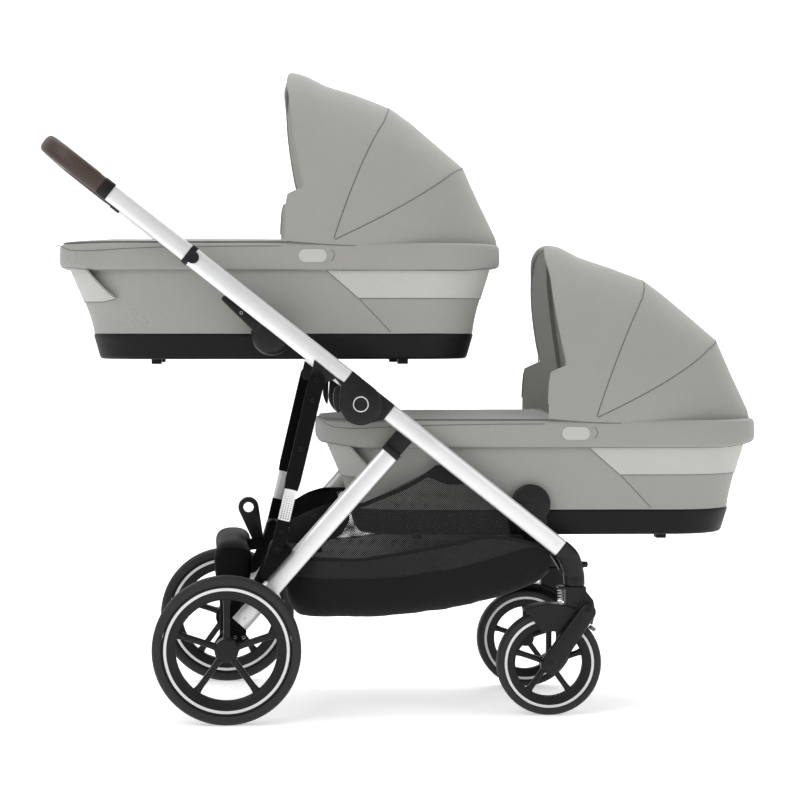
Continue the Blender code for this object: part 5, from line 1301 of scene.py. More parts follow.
def makeCasters():
    clear = caster["wheelRadius"] + caster["guardGap"]
    forkHalf = caster["forkHalf"]
    armFace = caster["y"] + forkHalf + caster["armGap"]
    axle, pivotAt = caster["axle"], caster["armPivot"]
    for label, side in sides.items():
        low = label.lower()
        y = side * caster["y"]
        top = caster["split"] - gap
        block = [(0.311, top), (0.311, top - 0.005), (0.3255, top - 0.005), (0.3265, 0.22)]
        block = [Vector(p) for p in block] + arc(axle, clear - 0.003, 72, 44, 14)
        block += [Vector(p) for p in ((0.379, 0.179), (0.385, 0.206), (0.381, 0.229), (0.3665, 0.247),
                                      (0.366, top))]
        parts = [plateMesh("fork", block, y - forkHalf, y + forkHalf)]
        parts.append(rodMesh("pivot", (pivotAt[0], y, pivotAt[1]), (pivotAt[0], side * (armFace - gap), pivotAt[1]),
                             0.015, 36))
        guard = (arc(axle, clear + caster["guardThick"], caster["guardFrom"], caster["guardTo"], 40)
                 + arc(axle, clear, caster["guardTo"], caster["guardFrom"], 40))
        parts.append(plateMesh("guard", guard, y - caster["guardHalf"], y + caster["guardHalf"]))
        cheek = (arc(axle, clear + caster["guardThick"] - 0.0003, caster["guardFrom"] + 1, caster["guardTo"] - 1, 40)
                 + arc(axle, caster["cheekInner"], caster["guardTo"] - 12, caster["guardFrom"] + 8, 40))
        cheekY = caster["y"] + forkHalf + caster["cheekGap"]
        parts.append(plateMesh("cheek", cheek, side * cheekY, side * (armFace - gap - 0.0002)))
        fork = fuse("fork", parts, caster["voxel"], 5)
        addPiece(f"fork{label}", joinMeshes("fork", [fork]), f"caster_{low}", "plastic", [f"fork_{low}"], 60)

        springLow = axle[1] + math.sqrt((clear + caster["guardThick"]) ** 2 - (caster["springX"] - axle[0]) ** 2)
        steps = caster["springTurns"] * 28
        line = []
        for i in range(steps + 1):
            a = 2 * math.pi * i / 28
            z = between(springLow + 0.0012, top - 0.0065, i / steps)
            line.append(Vector((caster["springX"] + caster["springRadius"] * math.cos(a),
                                y + caster["springRadius"] * math.sin(a), z)))
        addPiece(f"spring{label}", sweepTube("spring", line, caster["springWire"], 8), f"caster_{low}",
                 "tape", [f"spring_{low}"])

        outline = linkOutline(pivotAt, caster["armTop"], axle, caster["armFoot"], 60)
        arm = plateMesh("arm", outline, side * armFace, side * (armFace + caster["armThick"]), 0.007, 7)
        outFace = armFace + caster["armThick"]
        stub = rodMesh("stub", (axle[0], side * (caster["y"] - 0.008), axle[1]),
                       (axle[0], side * (armFace + 0.004), axle[1]), 0.006, 24)
        marks = []
        for centre, radius in ((pivotAt, 0.0108), (axle, 0.0092)):
            marks.append(latheMesh("mark", [(0.0, -0.001), (radius, -0.001), (radius, 0.0002),
                                            (radius - 0.0008, 0.0007), (0.0, 0.0007)],
                                   centre, side * outFace, side, 48))
        addPiece(f"swingArm{label}", joinMeshes("arm", [arm, stub] + marks), f"arm_{low}", "plastic",
                 [f"swing_arm_{low}"])
        # slide for locking the caster straight
        tab = plateMesh("tab", roundCorners(caster["tab"], 0.0016, 4), y - caster["tabHalf"], y + caster["tabHalf"],
                        0.0008, 2)
        addPiece(f"casterTab{label}", tab, f"caster_{low}", "greyPlastic")


# cot adapters

adapter = {"radius": 0.0405, "face": 0.2003, "upper": (-0.2572, 0.7559), "lower": (0.2561, 0.4205),
           "upperFace": 0.2577, "lowerFace": 0.2084,
           "foot": [(0.227, 0.393), (0.27, 0.36), (0.289, 0.384), (0.278, 0.42), (0.234, 0.42)]}


def makeAdapters():
    way = direction(upperTube["angle"])
    ninety = direction(upperTube["angle"] + 90)
    slope = Vector(frontTube["foot"]) - Vector(frontTube["top"])

    def tubeInner(x):
        t = (x - frontTube["top"][0]) / slope.x
        return frontTubeY(t) - frontTube["width"] / 2 - gap

    for label, side in sides.items():
        low = label.lower()
        r = adapter["radius"]
        deep = adapter["upperFace"] - adapter["face"]
        profile = [(0.0, 0.0), (r - 0.0012, 0.0), (r, 0.0012), (r, deep - 0.015), (r - 0.0012, deep - 0.0095),
                   (r - 0.0045, deep - 0.0045), (r - 0.01, deep - 0.0012), (r - 0.015, deep), (0.0, deep)]
        disc = latheMesh("disc", profile, adapter["upper"], side * adapter["face"], side, 72)
        start = Vector(adapter["upper"]) + way * 0.03 + ninety * 0.006
        end = Vector(adapter["upper"]) + way * 0.115 + ninety * 0.002
        lever = plateMesh("lever", linkOutline(start, 0.011, end, 0.006, 30),
                          side * (adapter["upperFace"] - 0.02), side * (adapter["upperFace"] - 0.001), 0.003, 4)
        screw = Vector(adapter["upper"]) + way * 0.073 + ninety * 0.0035
        addPiece(f"upperAdapter{label}", joinMeshes("adapter", [disc, lever]), "upper_adapters", "plastic",
                 [f"upper_adapter_{low}"])
        addPiece(f"adapterScrew{label}", screwMesh(screw.x, screw.y, adapter["upperFace"] - 0.001, side, 0.0032),
                 "upper_adapters", "steel")
        r = adapter["radius"] - 0.0015
        deep = adapter["lowerFace"] - adapter["face"]
        profile = [(0.0, 0.0), (r - 0.001, 0.0), (r, 0.001), (r, deep - 0.0028), (r - 0.001, deep - 0.0008),
                   (r - 0.0026, deep), (r - 0.0034, deep - 0.0005), (r - 0.005, deep - 0.0003), (0.0, deep)]
        disc = latheMesh("disc", profile, adapter["lower"], side * adapter["face"], side, 72)
        foot = roundCorners(adapter["foot"], 0.006, 5)
        rings = [[Vector((p.x, side * (adapter["face"] + 0.0002), p.y)) for p in foot],
                 [Vector((p.x, side * (tubeInner(p.x) - 0.0006), p.y)) for p in foot]]
        addPiece(f"lowerAdapter{label}", joinMeshes("adapter", [disc, loftMesh("foot", rings)]), "lower_adapters",
                 "plastic", [f"lower_adapter_{low}"])


makeFrontTubes()
makeUpperTubes()
makeRearLegs()
makeHandle()
makeStruts()
makeBridge()
print("frame tubes, hinges, handle and struts built")
for wheelSide, wheelSign in sides.items():
    makeWheel(rearWheel, wheelSide, wheelSign)
    makeWheel(frontWheel, wheelSide, wheelSign)
makeCasterHeads()
makeCasters()
makeAdapters()
print("wheels, casters and adapters built")


# carry cots

cot = {"upper": (-0.238, 0.697), "lower": (0.282, 0.347), "corner": 0.14, "trayTop": 0.0605, "tubTop": 0.1846,
       "tray": (-0.375, 0.391, 0.1885), "body": (-0.4215, 0.424, 0.205), "rim": (-0.443, 0.4435, 0.2175),
       "taper": 0.0105, "flare": 1.35, "endLift": 0.0075, "wall": 0.015, "feetX": (-0.247, 0.2445), "feetY": 0.13,
       "footHalf": (0.01, 0.016), "footTop": 0.016, "bossFoot": 0.024, "bossTop": 0.0575,
       # height above the cot's foot and inset beyond the taper
       "trayProfile": [(0.01, 0.0085), (0.0103, 0.006), (0.0112, 0.004), (0.013, 0.0022), (0.0155, 0.0009)],
       "boss": (-0.022, 0.03, 0.2), "mattress": 0.036, "apronFront": 0.02, "apronDome": 0.0075,
       # share of its height and inset from its widest outline
       "mattressProfile": [(0.0, 0.02), (0.04, 0.01), (0.16, 0.003), (0.34, 0.0), (0.54, 0.001), (0.7, 0.006),
                           (0.8, 0.014), (0.88, 0.028), (0.94, 0.05), (0.975, 0.08), (0.993, 0.115), (1.0, 0.15)],
       # height above the cot's foot and inset from the rim's outline
       "rimProfile": [(0.185, 0.009), (0.1854, 0.006), (0.1864, 0.0032), (0.1885, 0.0012), (0.193, 0.0002),
                      (0.203, -0.0005), (0.215, -0.0005), (0.225, 0.0), (0.231, 0.0004), (0.235, 0.0014),
                      (0.2372, 0.0032), (0.2386, 0.0062), (0.2391, 0.0105), (0.2391, 0.02), (0.238, 0.0255)],
       "hemLine": [(-0.441, 0.236), (-0.428, 0.23), (-0.4153, 0.225), (-0.385, 0.2232), (-0.3545, 0.2242),
                   (-0.3, 0.2275), (-0.2355, 0.2302), (-0.1, 0.2322), (0.0, 0.2325)],
       "rearPanel": [(0.1788, -0.3758), (0.1283, -0.3269)],
       "rearPanelFoot": [(0.1245, -0.5), (0.1235, -0.3506), (0.1283, -0.3269)], "frontPanelFoot": 0.1305,
       "frontPanel": [(0.184, 0.0903), (0.128, 0.1554)], "panelSeam": [(0.1554, 0.128), (0.2166, 0.0639)],
       "pill": (0.034, 0.089, 0.201, 0.2265),
       "label": [(-0.2957, 0.1072), (-0.2636, 0.0834), (-0.2718, 0.0736), (-0.3012, 0.096)]}
hood = {"pivot": (0.102, 0.244), "half": 0.2165, "thick": 0.0025, "power": 2.6,
        "radii": [(-2.2, 0.3445), (1.8, 0.3395), (14.0, 0.3175), (20.6, 0.313), (29.5, 0.3135), (44.0, 0.296),
                  (57.0, 0.2965), (65.6, 0.302), (80.0, 0.307), (88.0, 0.3155), (92.0, 0.323), (96.0, 0.337),
                  (101.0, 0.354)],
        "edge": [(-0.012, -0.0948), (0.0355, -0.0938), (0.078, -0.0908), (0.0875, -0.0893), (0.0935, -0.0845),
                 (0.0985, -0.0735), (0.102, -0.061), (0.1045, -0.0575), (0.1462, -0.065), (0.1893, -0.0725),
                 (0.2441, -0.0795), (0.29, -0.0825), (0.32, -0.084), (0.34, -0.08), (0.352, -0.066)],
        "seams": [(66.4, 72.0), (29.5, 25.0)], "lip": 0.0048,
        "foot": [(-0.096, -0.0032), (-0.042, -0.0078), (0.0, -0.0105), (0.1, -0.013), (0.4, -0.013)]}


def cotRing(place, span, z, corner, inset=0.0, count=14):
    rear, front, half = span
    return roundedRing(place[0] + rear + inset, place[0] + front - inset, half - inset, corner - inset * 0.6,
                       place[1] + z, count)


def endLift(place, points, share):
    # the rim's lower edge rises a little round both ends of the cot
    rear, front, _ = cot["rim"]
    middle, half = place[0] + (rear + front) / 2, (front - rear) / 2
    return [p + Vector((0, 0, cot["endLift"] * share * ease((abs(p.x - middle) / half - 0.8) / 0.2))) for p in points]


def tubSpan(t):
    return tuple(between(a, b, t ** cot["flare"]) for a, b in zip(cot["tray"], cot["body"]))


def makeTub(kind, place):
    rim = cot["rim"]
    rings = []
    for i in range(13):
        t = i / 12
        z = between(cot["trayTop"] + gap, cot["tubTop"], t)
        ring = cotRing(place, tubSpan(t), z, cot["corner"] - 0.02 * (1 - t), 0.0008 * (1 - t))
        rings.append(endLift(place, ring, 0.95 * t ** 8))
    for z, inset in cot["rimProfile"]:
        rings.append(endLift(place, cotRing(place, rim, z, cot["corner"], inset), ease((0.215 - z) / 0.025)))
    outerRings = len(rings)
    wall = cot["wall"]
    for t in (1.0, 0.75, 0.5, 0.25, 0.0):
        rings.append(cotRing(place, tubSpan(t), between(cot["trayTop"] + 0.0085, 0.185, t), cot["corner"] - 0.01, wall))
    mesh = loftMesh("tub", rings)
    count = len(rings[0])
    ripple(mesh, 0.0006, 0.085, 3.0 if kind == "upper" else 8.0)
    obj = addPiece(f"{kind}Tub", mesh, f"{kind}_cot", "cotCloth", [f"{kind}_cot_tub"], 50)
    # the inner wall takes the lining, whose colour carries painted light against the shade inside the tub
    obj.data.materials.append(materials["lining"])
    for polygon in obj.data.polygons:
        isWall = (outerRings - 1) * count <= polygon.index < (len(rings) - 1) * count
        if isWall or polygon.index == len(obj.data.polygons) - 1:
            polygon.material_index = 1
    surface = surfaceOf(obj.data)
    cords = [sweepTube("piping", endLift(place, cotRing(place, rim, 0.1858, cot["corner"], 0.0056), 1.0), 0.0011, 6,
                       closed=True)]
    for side in sides.values():
        cords.append(lineOn(surface, placed(place, cot["hemLine"]), side, 0.0008, 0.0001))
    addPiece(f"{kind}RimPiping", joinMeshes("piping", cords), f"{kind}_cot", "seamCloth")
    return surface


def wrapPanel(place, zTop, zLow, line, foot, rear):
    # a panel let into the tub that runs round one end, cut by the slanting line on each side
    outer, inner = [], []
    levels, across = 14, 96
    for i in range(levels + 1):
        z = between(zTop, zLow, i / levels)
        t = (z - cot["trayTop"]) / (cot["tubTop"] - cot["trayTop"])
        ring = endLift(place, cotRing(place, tubSpan(t), z, cot["corner"] - 0.02 * (1 - t), 0.0008 * (1 - t), 40),
                       0.95 * t ** 8)
        (z0, x0), (z1, x1) = line
        cutX = place[0] + between(x0, x1, (z - z0) / (z1 - z0))
        # walk the ring from the cut on one side, round the end, to the cut on the other
        keep = [p for p in ring if (p.x < cutX if rear else p.x > cutX)]
        middle = sum((p.x for p in ring)) / len(ring)
        keep.sort(key=lambda p: math.atan2(p.y, (middle - p.x) if rear else (p.x - middle)))
        half = max(abs(p.y) for p in ring if abs(p.x - cutX) < 0.05)
        chain = [Vector((cutX, -half, keep[0].z))] + keep + [Vector((cutX, half, keep[-1].z))]
        lengths = [0.0]
        for p, q in zip(chain, chain[1:]):
            lengths.append(lengths[-1] + (q - p).length)
        rowA, rowB = [], []
        k = 0
        for j in range(across + 1):
            target = lengths[-1] * j / across
            while k < len(lengths) - 2 and lengths[k + 1] < target:
                k += 1
            share = (target - lengths[k]) / max(1e-9, lengths[k + 1] - lengths[k])
            p = chain[k].lerp(chain[k + 1], share)
            ahead = (chain[k + 1] - chain[k]).normalized()
            out = Vector((ahead.y, -ahead.x, 0))
            if out.dot(p - Vector((middle, 0, p.z))) < 0:
                out = -out
            drop = foot(p.x - place[0]) * (i / levels) if foot else 0.0
            rowA.append(p + out * 0.0016 + Vector((0, 0, drop)))
            rowB.append(p - out * 0.001 + Vector((0, 0, drop)))
        outer.append(rowA)
        inner.append(rowB)
    return slabMesh("panel", outer, inner), [outer[-1], [row[0] for row in outer], [row[-1] for row in outer]]


def makeTray(kind, place):
    tray = cot["tray"]
    rings = []
    taper = cot["taper"]
    for z, inset in cot["trayProfile"]:
        rings.append(cotRing(place, tray, z, cot["corner"] - 0.02, taper + inset))
    for i in range(9):
        t = i / 8
        rings.append(cotRing(place, tray, between(0.0185, 0.056, t), cot["corner"] - 0.02, taper * (1 - t)))
    rings.append(cotRing(place, tray, 0.06, cot["corner"] - 0.02, 0.0006))
    rings.append(cotRing(place, tray, 0.0605, cot["corner"] - 0.02, 0.0014))
    parts = [loftMesh("tray", rings)]
    (halfX, halfY), footTop = cot["footHalf"], cot["footTop"]
    for x in cot["feetX"]:
        foot = roundCorners([(x - halfX, 0.0), (x + halfX, 0.0), (x + halfX, footTop), (x - halfX, footTop)], 0.002, 3)
        outline = [Vector(p) for p in placed(place, foot)]
        for y in (side * cot["feetY"] for side in sides.values()):
            parts.append(plateMesh("foot", outline, y - halfY, y + halfY, 0.0015))
    bx, bh, face = cot["boss"]
    for side in sides.values():
        x0, x1 = place[0] + bx - bh, place[0] + bx + bh
        z0, z1 = place[1] + cot["bossFoot"], place[1] + cot["bossTop"]
        outline = roundCorners([(x0, z0), (x1, z0), (x1, z1), (x0, z1)], 0.006, 5)
        parts.append(plateMesh("boss", outline, side * (tray[2] - 0.03), side * face, 0.0015))
    addPiece(f"{kind}Base", joinMeshes("base", parts), f"{kind}_cot", "trayPlastic", [f"{kind}_cot_base"], 50)


def makeMattress(kind, place):
    tray = cot["tray"]
    inset = cot["wall"] + 0.006
    low = cot["trayTop"] + 0.0085 + gap
    rings = []
    for share, pull in cot["mattressProfile"]:
        rings.append(cotRing(place, tray, low + share * cot["mattress"], cot["corner"] - 0.05 + inset * 0.6,
                             inset + pull, 10))
    mesh = loftMesh("mattress", rings)
    ripple(mesh, 0.0012, 0.06, 5.0)
    piping = sweepTube("piping", cotRing(place, tray, low + 0.62 * cot["mattress"], cot["corner"] - 0.05,
                                         inset + 0.0028, 10), 0.0016, 6, closed=True)
    obj = addPiece(f"{kind}Mattress", joinMeshes("mattress", [mesh, piping]), f"{kind}_cot", "bedding",
                   [f"{kind}_mattress"], 60)


def makeApron(kind, place):
    rim = cot["rim"]
    rear, half = rim[0] + 0.008, rim[2] - 0.008
    corner = cot["corner"] - 0.008
    outer, under = [], []
    rows, cols = 44, 34
    for i in range(rows + 1):
        share = 1 - math.cos(math.pi / 2 * i / rows)
        x = between(rear, cot["apronFront"], share)
        inside = max(0.0, rear + corner - x)
        width = half - corner + math.sqrt(max(0.0, corner ** 2 - inside ** 2))
        rowA, rowB = [], []
        for j in range(cols + 1):
            v = -1 + 2 * j / cols
            rise = cot["apronDome"] * (1 - v * v) * min(1.0, (x - rear) / 0.1) + 0.002 * (1 - v ** 4)
            spot = Vector((x * 14, v * width * 14, 2.0))
            rise += 0.0009 * noise.noise(spot) * (1 - v ** 6)
            z = place[1] + 0.2393 + rise
            roll = 0.0012 * (1 - abs(v) ** 8)
            rowA.append(Vector((place[0] + x, v * width, z + 0.0018 + roll)))
            rowB.append(Vector((place[0] + x, v * width, z)))
        outer.append(rowA)
        under.append(rowB)
    mesh = slabMesh("apron", outer, under)
    obj = addPiece(f"{kind}Apron", mesh, f"{kind}_cot", "cotCloth", [f"{kind}_apron"], 50)
    hem = [p + Vector((0.0, 0.0, 0.0002)) for p in outer[-1]]
    edge = [row[0] for row in outer[2:]]
    other = [row[-1] for row in outer[2:]]
    cords = [sweepTube("hem", hem, 0.0022, 8), sweepTube("hem", edge, 0.0012, 6), sweepTube("hem", other, 0.0012, 6)]
    trim = addPiece(f"{kind}ApronHem", joinMeshes("hem", cords), f"{kind}_cot", "seamCloth")


def hoodRadius(angle):
    # cloth runs straight from bow to bow, so between two angles the edge is a chord
    table = hood["radii"]
    for (a0, r0), (a1, r1) in zip(table, table[1:]):
        if angle <= a1:
            p, q = direction(a0) * r0, direction(a1) * r1
            d = direction(angle)
            e = q - p
            det = d.x * -e.y + d.y * e.x
            return (p.x * -e.y + p.y * e.x) / det
    return table[-1][1]


def archPoint(pivot, angle, radius, half, t):
    a = math.pi * t
    y = math.copysign(abs(math.cos(a)) ** (2 / hood["power"]), math.cos(a)) * half
    h = math.sin(a) ** (2 / hood["power"]) * radius if 0 < t < 1 else 0.0
    d = direction(angle)
    return Vector((pivot[0] + d.x * h, y, pivot[1] + d.y * h))


def archColumns(count=44):
    half = [0.5 * (0.03 + 0.97 * k / (count // 2)) ** 1.55 for k in range(count // 2 + 1)]
    # extra ones at the heights where the front edge turns round the flap's corner
    heights = [0.082, 0.0865, 0.0895, 0.0925, 0.0955, 0.0985, 0.101, 0.103, 0.105, 0.108]
    half += [math.asin((z / hood["radii"][-1][1]) ** (hood["power"] / 2)) / math.pi for z in heights]
    half = sorted(half)
    return half + [1 - t for t in reversed(half[:-1])]


def hoodEdgePoint(pivot, t, inset=0.0):
    p = archPoint(pivot, 101.0, hood["radii"][-1][1] - inset, hood["half"] - inset, t)
    x = pivot[0] + smoothLookup(hood["edge"], p.z - pivot[1])
    return Vector((min(x, p.x - 0.001), p.y, p.z))


def hoodGrid(pivot, inset):
    columns = archColumns()
    rows = []
    for angle in [between(-2.2, 96.0, k / 50) for k in range(51)]:
        r = hoodRadius(angle) - inset
        # the sides puff out a little between the bows
        puff = 0.0022 * math.sin(math.pi * (angle - 29.5) / 36.1) if 29.5 < angle < 65.6 else 0.0
        row = []
        for t in columns:
            p = archPoint(pivot, angle, r, hood["half"] - inset, t)
            p.y += math.copysign(puff * min(1.0, 4 * min(t, 1 - t)), p.y) * (0 if abs(t - 0.5) < 0.2 else 1)
            row.append(p)
        rows.append(row)
    start = rows[-1]
    for k in range(1, 9):
        u = k / 8
        row = []
        for p, t in zip(start, columns):
            q = hoodEdgePoint(pivot, t, inset)
            s = p.lerp(q, u)
            s += (q - p).length * 0.06 * math.sin(math.pi * u) * Vector((0, 0, 1 if p.z > pivot[1] + 0.2 else 0))
            row.append(s)
        rows.append(row)
    # the cloth's foot goes down behind the rim at the back, and just below the pivots in the front flap
    rows.insert(0, [Vector((p.x, p.y, pivot[1] + lookup(hood["foot"], p.x - pivot[0]))) for p in rows[0]])
    for row in rows:
        for end in (0, -1):
            p = row[end]
            low = pivot[1] + lookup(hood["foot"], p.x - pivot[0])
            row.insert(0 if end == 0 else len(row), Vector((p.x, p.y, min(p.z - 0.001, low))))
    return rows


def makeHood(kind, place):
    pivot = (place[0] + hood["pivot"][0], place[1] + hood["pivot"][1])
    outer, inner = hoodGrid(pivot, 0.0), hoodGrid(pivot, hood["thick"])
    seed = 2.0 if kind == "upper" else 6.0
    for rowA, rowB in zip(outer, inner):
        for a, b in zip(rowA, rowB):
            n = a - b
            if n.length < 1e-7:
                continue
            n.normalize()
            p = a * 9.0 + Vector((seed, 0, 0))
            move = n * (0.0016 * noise.noise(p) + 0.0007 * noise.noise(p * 2.6))
            grip = min(1.0, (Vector((a.x - pivot[0], 0, a.z - pivot[1])).length) / 0.08)
            a += move * grip
            b += move * grip
    mesh = slabMesh("hood", outer, inner)
    obj = addPiece(f"{kind}HoodCloth", mesh, None, "cotCloth", (), 60)
    # inner faces take the lining, whose colour carries painted light against the shade inside the hood
    obj.data.materials.append(materials["lining"])
    skin = (len(outer) - 1) * (len(outer[0]) - 1)
    centre = Vector((pivot[0], 0, pivot[1]))
    for polygon in obj.data.polygons[:2 * skin]:
        if (polygon.center - centre).dot(polygon.normal) < 0:
            polygon.material_index = 1
    surface = surfaceOf(mesh)
    trims = []
    for top, low in hood["seams"]:
        line = []
        for k in range(81):
            t = 0.0008 + 0.9984 * k / 80
            angle = between(low, top, min(1.0, 3.2 * min(t, 1 - t)))
            p = archPoint(pivot, angle, hoodRadius(angle), hood["half"], t)
            hit = surface.find_nearest(p)
            line.append(hit[0] + hit[1] * 0.0001)
        trims.append(sweepTube("seam", line, 0.001, 6))
    seams = addPiece(f"{kind}HoodSeams", joinMeshes("seams", trims), None, "seamCloth")
    # rolled front edge: thick at the top of the visor, thin down the sides
    columns = [0.012 + 0.976 * k / 90 for k in range(91)]
    line, radii = [], []
    for t in columns:
        p = hoodEdgePoint(pivot, t, hood["thick"] / 2)
        high = ease((p.z - pivot[1] - 0.27) / 0.06)
        line.append(p + Vector((-0.0008, 0, -hood["lip"] * 0.75 * high)))
        radii.append(between(0.0017, hood["lip"], high))
    lip = addPiece(f"{kind}HoodLip", sweepTube("lip", line, radii, 12), None, "cotCloth")
    # dark binding along the foot of the hood, both sides
    feet = []
    for side in sides.values():
        line = []
        for k in range(40):
            u = k / 39
            x = between(pivot[0] + 0.325, pivot[0] - 0.093, u)
            z = pivot[1] + lookup(hood["foot"], x - pivot[0]) + 0.0012
            line.append(onSide(surface, x, z, side, -0.0006))
        feet.append(sweepTube("foot", line, 0.0013, 6))
    foot = addPiece(f"{kind}HoodFoot", joinMeshes("foot", feet), None, "seamCloth")
    for piece in (obj, seams, lip, foot):
        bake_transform(piece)
    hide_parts(f"{kind}_hood_fabric")
    return surface


def pillOutline(x0, x1, z0, z1):
    r = (z1 - z0) / 2
    z = (z0 + z1) / 2
    return arc((x1 - r, z), r, -90, 90, 14) + arc((x0 + r, z), r, 90, 270, 14)


def makeCotTrims(kind, place, surface):
    light, lines = [], []
    rearFoot = cot["rearPanelFoot"]

    def sag(x):
        return lookup([(a, b) for b, a in rearFoot], x) - rearFoot[0][0]

    for mesh, edges in (wrapPanel(place, cot["tubTop"], rearFoot[0][0], cot["rearPanel"], sag, True),
                        wrapPanel(place, cot["tubTop"], cot["frontPanelFoot"], cot["frontPanel"], None, False)):
        light.append(mesh)
        lines += [sweepTube("seam", edge, 0.0006, 5) for edge in edges]
    for side in sides.values():
        lines.append(lineOn(surface, placed(place, cot["panelSeam"]), side, 0.0008, 0.0001))
        # stitched arc below the hood's pivot
        curve = [tuple(p) for p in arc((place[0] + hood["pivot"][0] - 0.011, place[1] + 0.215), 0.013, -58, 58, 12)]
        lines.append(lineOn(surface, curve, side, 0.0006, 0.0003, 0.002))
    addPiece(f"{kind}LightPanels", joinMeshes("panels", light), f"{kind}_cot", "lightCloth")
    addPiece(f"{kind}CotSeams", joinMeshes("seams", lines), f"{kind}_cot", "seamCloth")
    # small plain pills on both sides, and a stitched label
    badges = []
    for side in sides.values():
        x0, x1, z0, z1 = cot["pill"]
        pill = pillOutline(place[0] + x0, place[0] + x1, place[1] + z0, place[1] + z1)
        badges.append(patchOn("pill", surface, pill, side, 0.0012, 0.02))
    addPiece(f"{kind}Pills", joinMeshes("pills", badges), f"{kind}_cot", "badge")
    label = placed(place, cot["label"])
    border = lineOn(surface, label + label[:1], sides["Right"], 0.0006, 0.0005)
    addPiece(f"{kind}Label", border, f"{kind}_cot", "lightCloth")


def makeCot(kind):
    place = cot[kind]
    surface = makeTub(kind, place)
    makeTray(kind, place)
    makeMattress(kind, place)
    makeApron(kind, place)
    makeHood(kind, place)
    makeCotTrims(kind, place, surface)
    print(f"{kind} cot built")


# shopping basket

basket = {
    "floor": [(-0.232, 0.262), (-0.222, 0.222), (-0.196, 0.199), (-0.088, 0.199), (0.069, 0.2115), (0.186, 0.2337),
              (0.27, 0.262), (0.294, 0.28)],
    "top": [(-0.232, 0.38), (-0.222, 0.388), (-0.196, 0.402), (-0.131, 0.424), (-0.088, 0.4238), (0.069, 0.502),
            (0.11, 0.4948), (0.2, 0.4236), (0.2145, 0.372), (0.294, 0.332)],
    "half": [(-0.232, 0.204), (-0.21, 0.207), (-0.165, 0.2312), (0.048, 0.2312), (0.294, 0.2069)],
    "edge": [(-0.232, 0.318), (-0.1626, 0.3185), (-0.1036, 0.3165), (-0.0052, 0.3286), (0.0933, 0.346),
             (0.1722, 0.3605), (0.2525, 0.348), (0.294, 0.33)],
    "seam": [(-0.232, 0.28), (-0.0839, 0.2757), (0.0737, 0.2909), (0.1921, 0.3181), (0.2625, 0.336), (0.294, 0.325)],
    "corner": 0.035, "cloth": 0.0015,
    "strap": [(-0.232, 0.376), (-0.222, 0.384), (-0.196, 0.398), (-0.165, 0.413), (-0.1314, 0.421),
              (-0.088, 0.4205), (-0.0489, 0.4337), (-0.0077, 0.45), (0.0336, 0.4718), (0.069, 0.497)],
    "strapWide": 0.0085,
    "rearPanel": [(-0.226, 0.345), (-0.185, 0.346), (-0.1451, 0.352), (-0.1202, 0.3629), (-0.1063, 0.3876),
                  (-0.1039, 0.4014), (-0.112, 0.417), (-0.1314, 0.4225), (-0.165, 0.4145), (-0.196, 0.3995),
                  (-0.222, 0.385)],
    "frontPanel": [(0.033, 0.472), (0.0507, 0.4755), (0.07, 0.468), (0.0887, 0.4616), (0.1116, 0.4606),
                   (0.135, 0.465), (0.11, 0.493), (0.069, 0.5)],
    "pocket": [(-0.181, 0.2845), (-0.118, 0.2845), (-0.118, 0.3085), (-0.181, 0.3085)],
    "netEnd": 0.214, "melange": (-0.212, 0.27),
}


def basketHalf(x):
    return smoothLookup(basket["half"], x)


def basketEdge(x):
    return min(smoothLookup(basket["edge"], x), lookup(basket["top"], x) - 0.002)


def basketSection(x, grow, top=None):
    floor = smoothLookup(basket["floor"], x) - grow
    # the bottom sags between the frame's sides
    sag = 0.0035 * math.sin(math.pi * max(0.0, min(1.0, (x + 0.232) / 0.526)))
    half = basketHalf(x) + grow
    corner = basket["corner"] + grow
    topZ = basketEdge(x) if top is None else top
    points = []
    wallSteps = 8
    for i in range(wallSteps):
        points.append((-half, between(topZ, floor + corner, i / wallSteps)))
    points += [(p.x, p.y) for p in arc((-half + corner, floor + corner), corner, 180, 270, 8)]
    for i in range(1, 14):
        points.append((between(-half + corner, half - corner, i / 14), floor))
    points += [(p.x, p.y) for p in arc((half - corner, floor + corner), corner, 270, 360, 8)]
    for i in range(1, wallSteps + 1):
        points.append((half, between(floor + corner, topZ, i / wallSteps)))
    row = []
    for y, z in points:
        low = ease(1 - (z - floor) / 0.06)
        broad = noise.noise(Vector((x * 22, y * 5, z * 9)))
        fine = noise.noise(Vector((x * 70, y * 9, z * 16)))
        wave = broad * 0.0018 + fine * 0.0008
        bulge = 0.0015 * math.sin(math.pi * max(0.0, min(1.0, (z - floor) / max(0.02, topZ - floor))))
        scale = 1 - min(1.0, abs(y) / half) ** 6
        row.append(Vector((x, y + math.copysign(bulge, y) * (1 if abs(y) > half * 0.97 else 0),
                           z - sag * scale + wave * low)))
    return row


def ribbon(line, width, lift, thick, side):
    # a tape along the basket's side wall
    outer, inner = [], []
    for i, p in enumerate(line):
        a, b = Vector(line[max(0, i - 1)]), Vector(line[min(len(line) - 1, i + 1)])
        way = (b - a).normalized()
        normal = Vector((-way.y, way.x))
        rowA, rowB = [], []
        for k in range(5):
            s = -1 + k / 2
            q = Vector(p) + normal * (s * width / 2)
            y = basketHalf(q.x) + lift
            rowA.append(Vector((q.x, side * (y + thick * (1 - 0.5 * abs(s) ** 4)), q.y)))
            rowB.append(Vector((q.x, side * y, q.y)))
        outer.append(rowA)
        inner.append(rowB)
    return slabMesh("ribbon", outer, inner)


def dense(table, count, x0=None, x1=None):
    x0 = table[0][0] if x0 is None else x0
    x1 = table[-1][0] if x1 is None else x1
    return [(between(x0, x1, i / count), smoothLookup(table, between(x0, x1, i / count))) for i in range(count + 1)]


def sidePatch(outline, lift, side, thick=0.001):
    rings = []
    for y in (lift, lift + thick):
        rings.append([Vector((p.x, side * (basketHalf(p.x) + y), p.y)) for p in outline])
    return loftMesh("patch", rings)


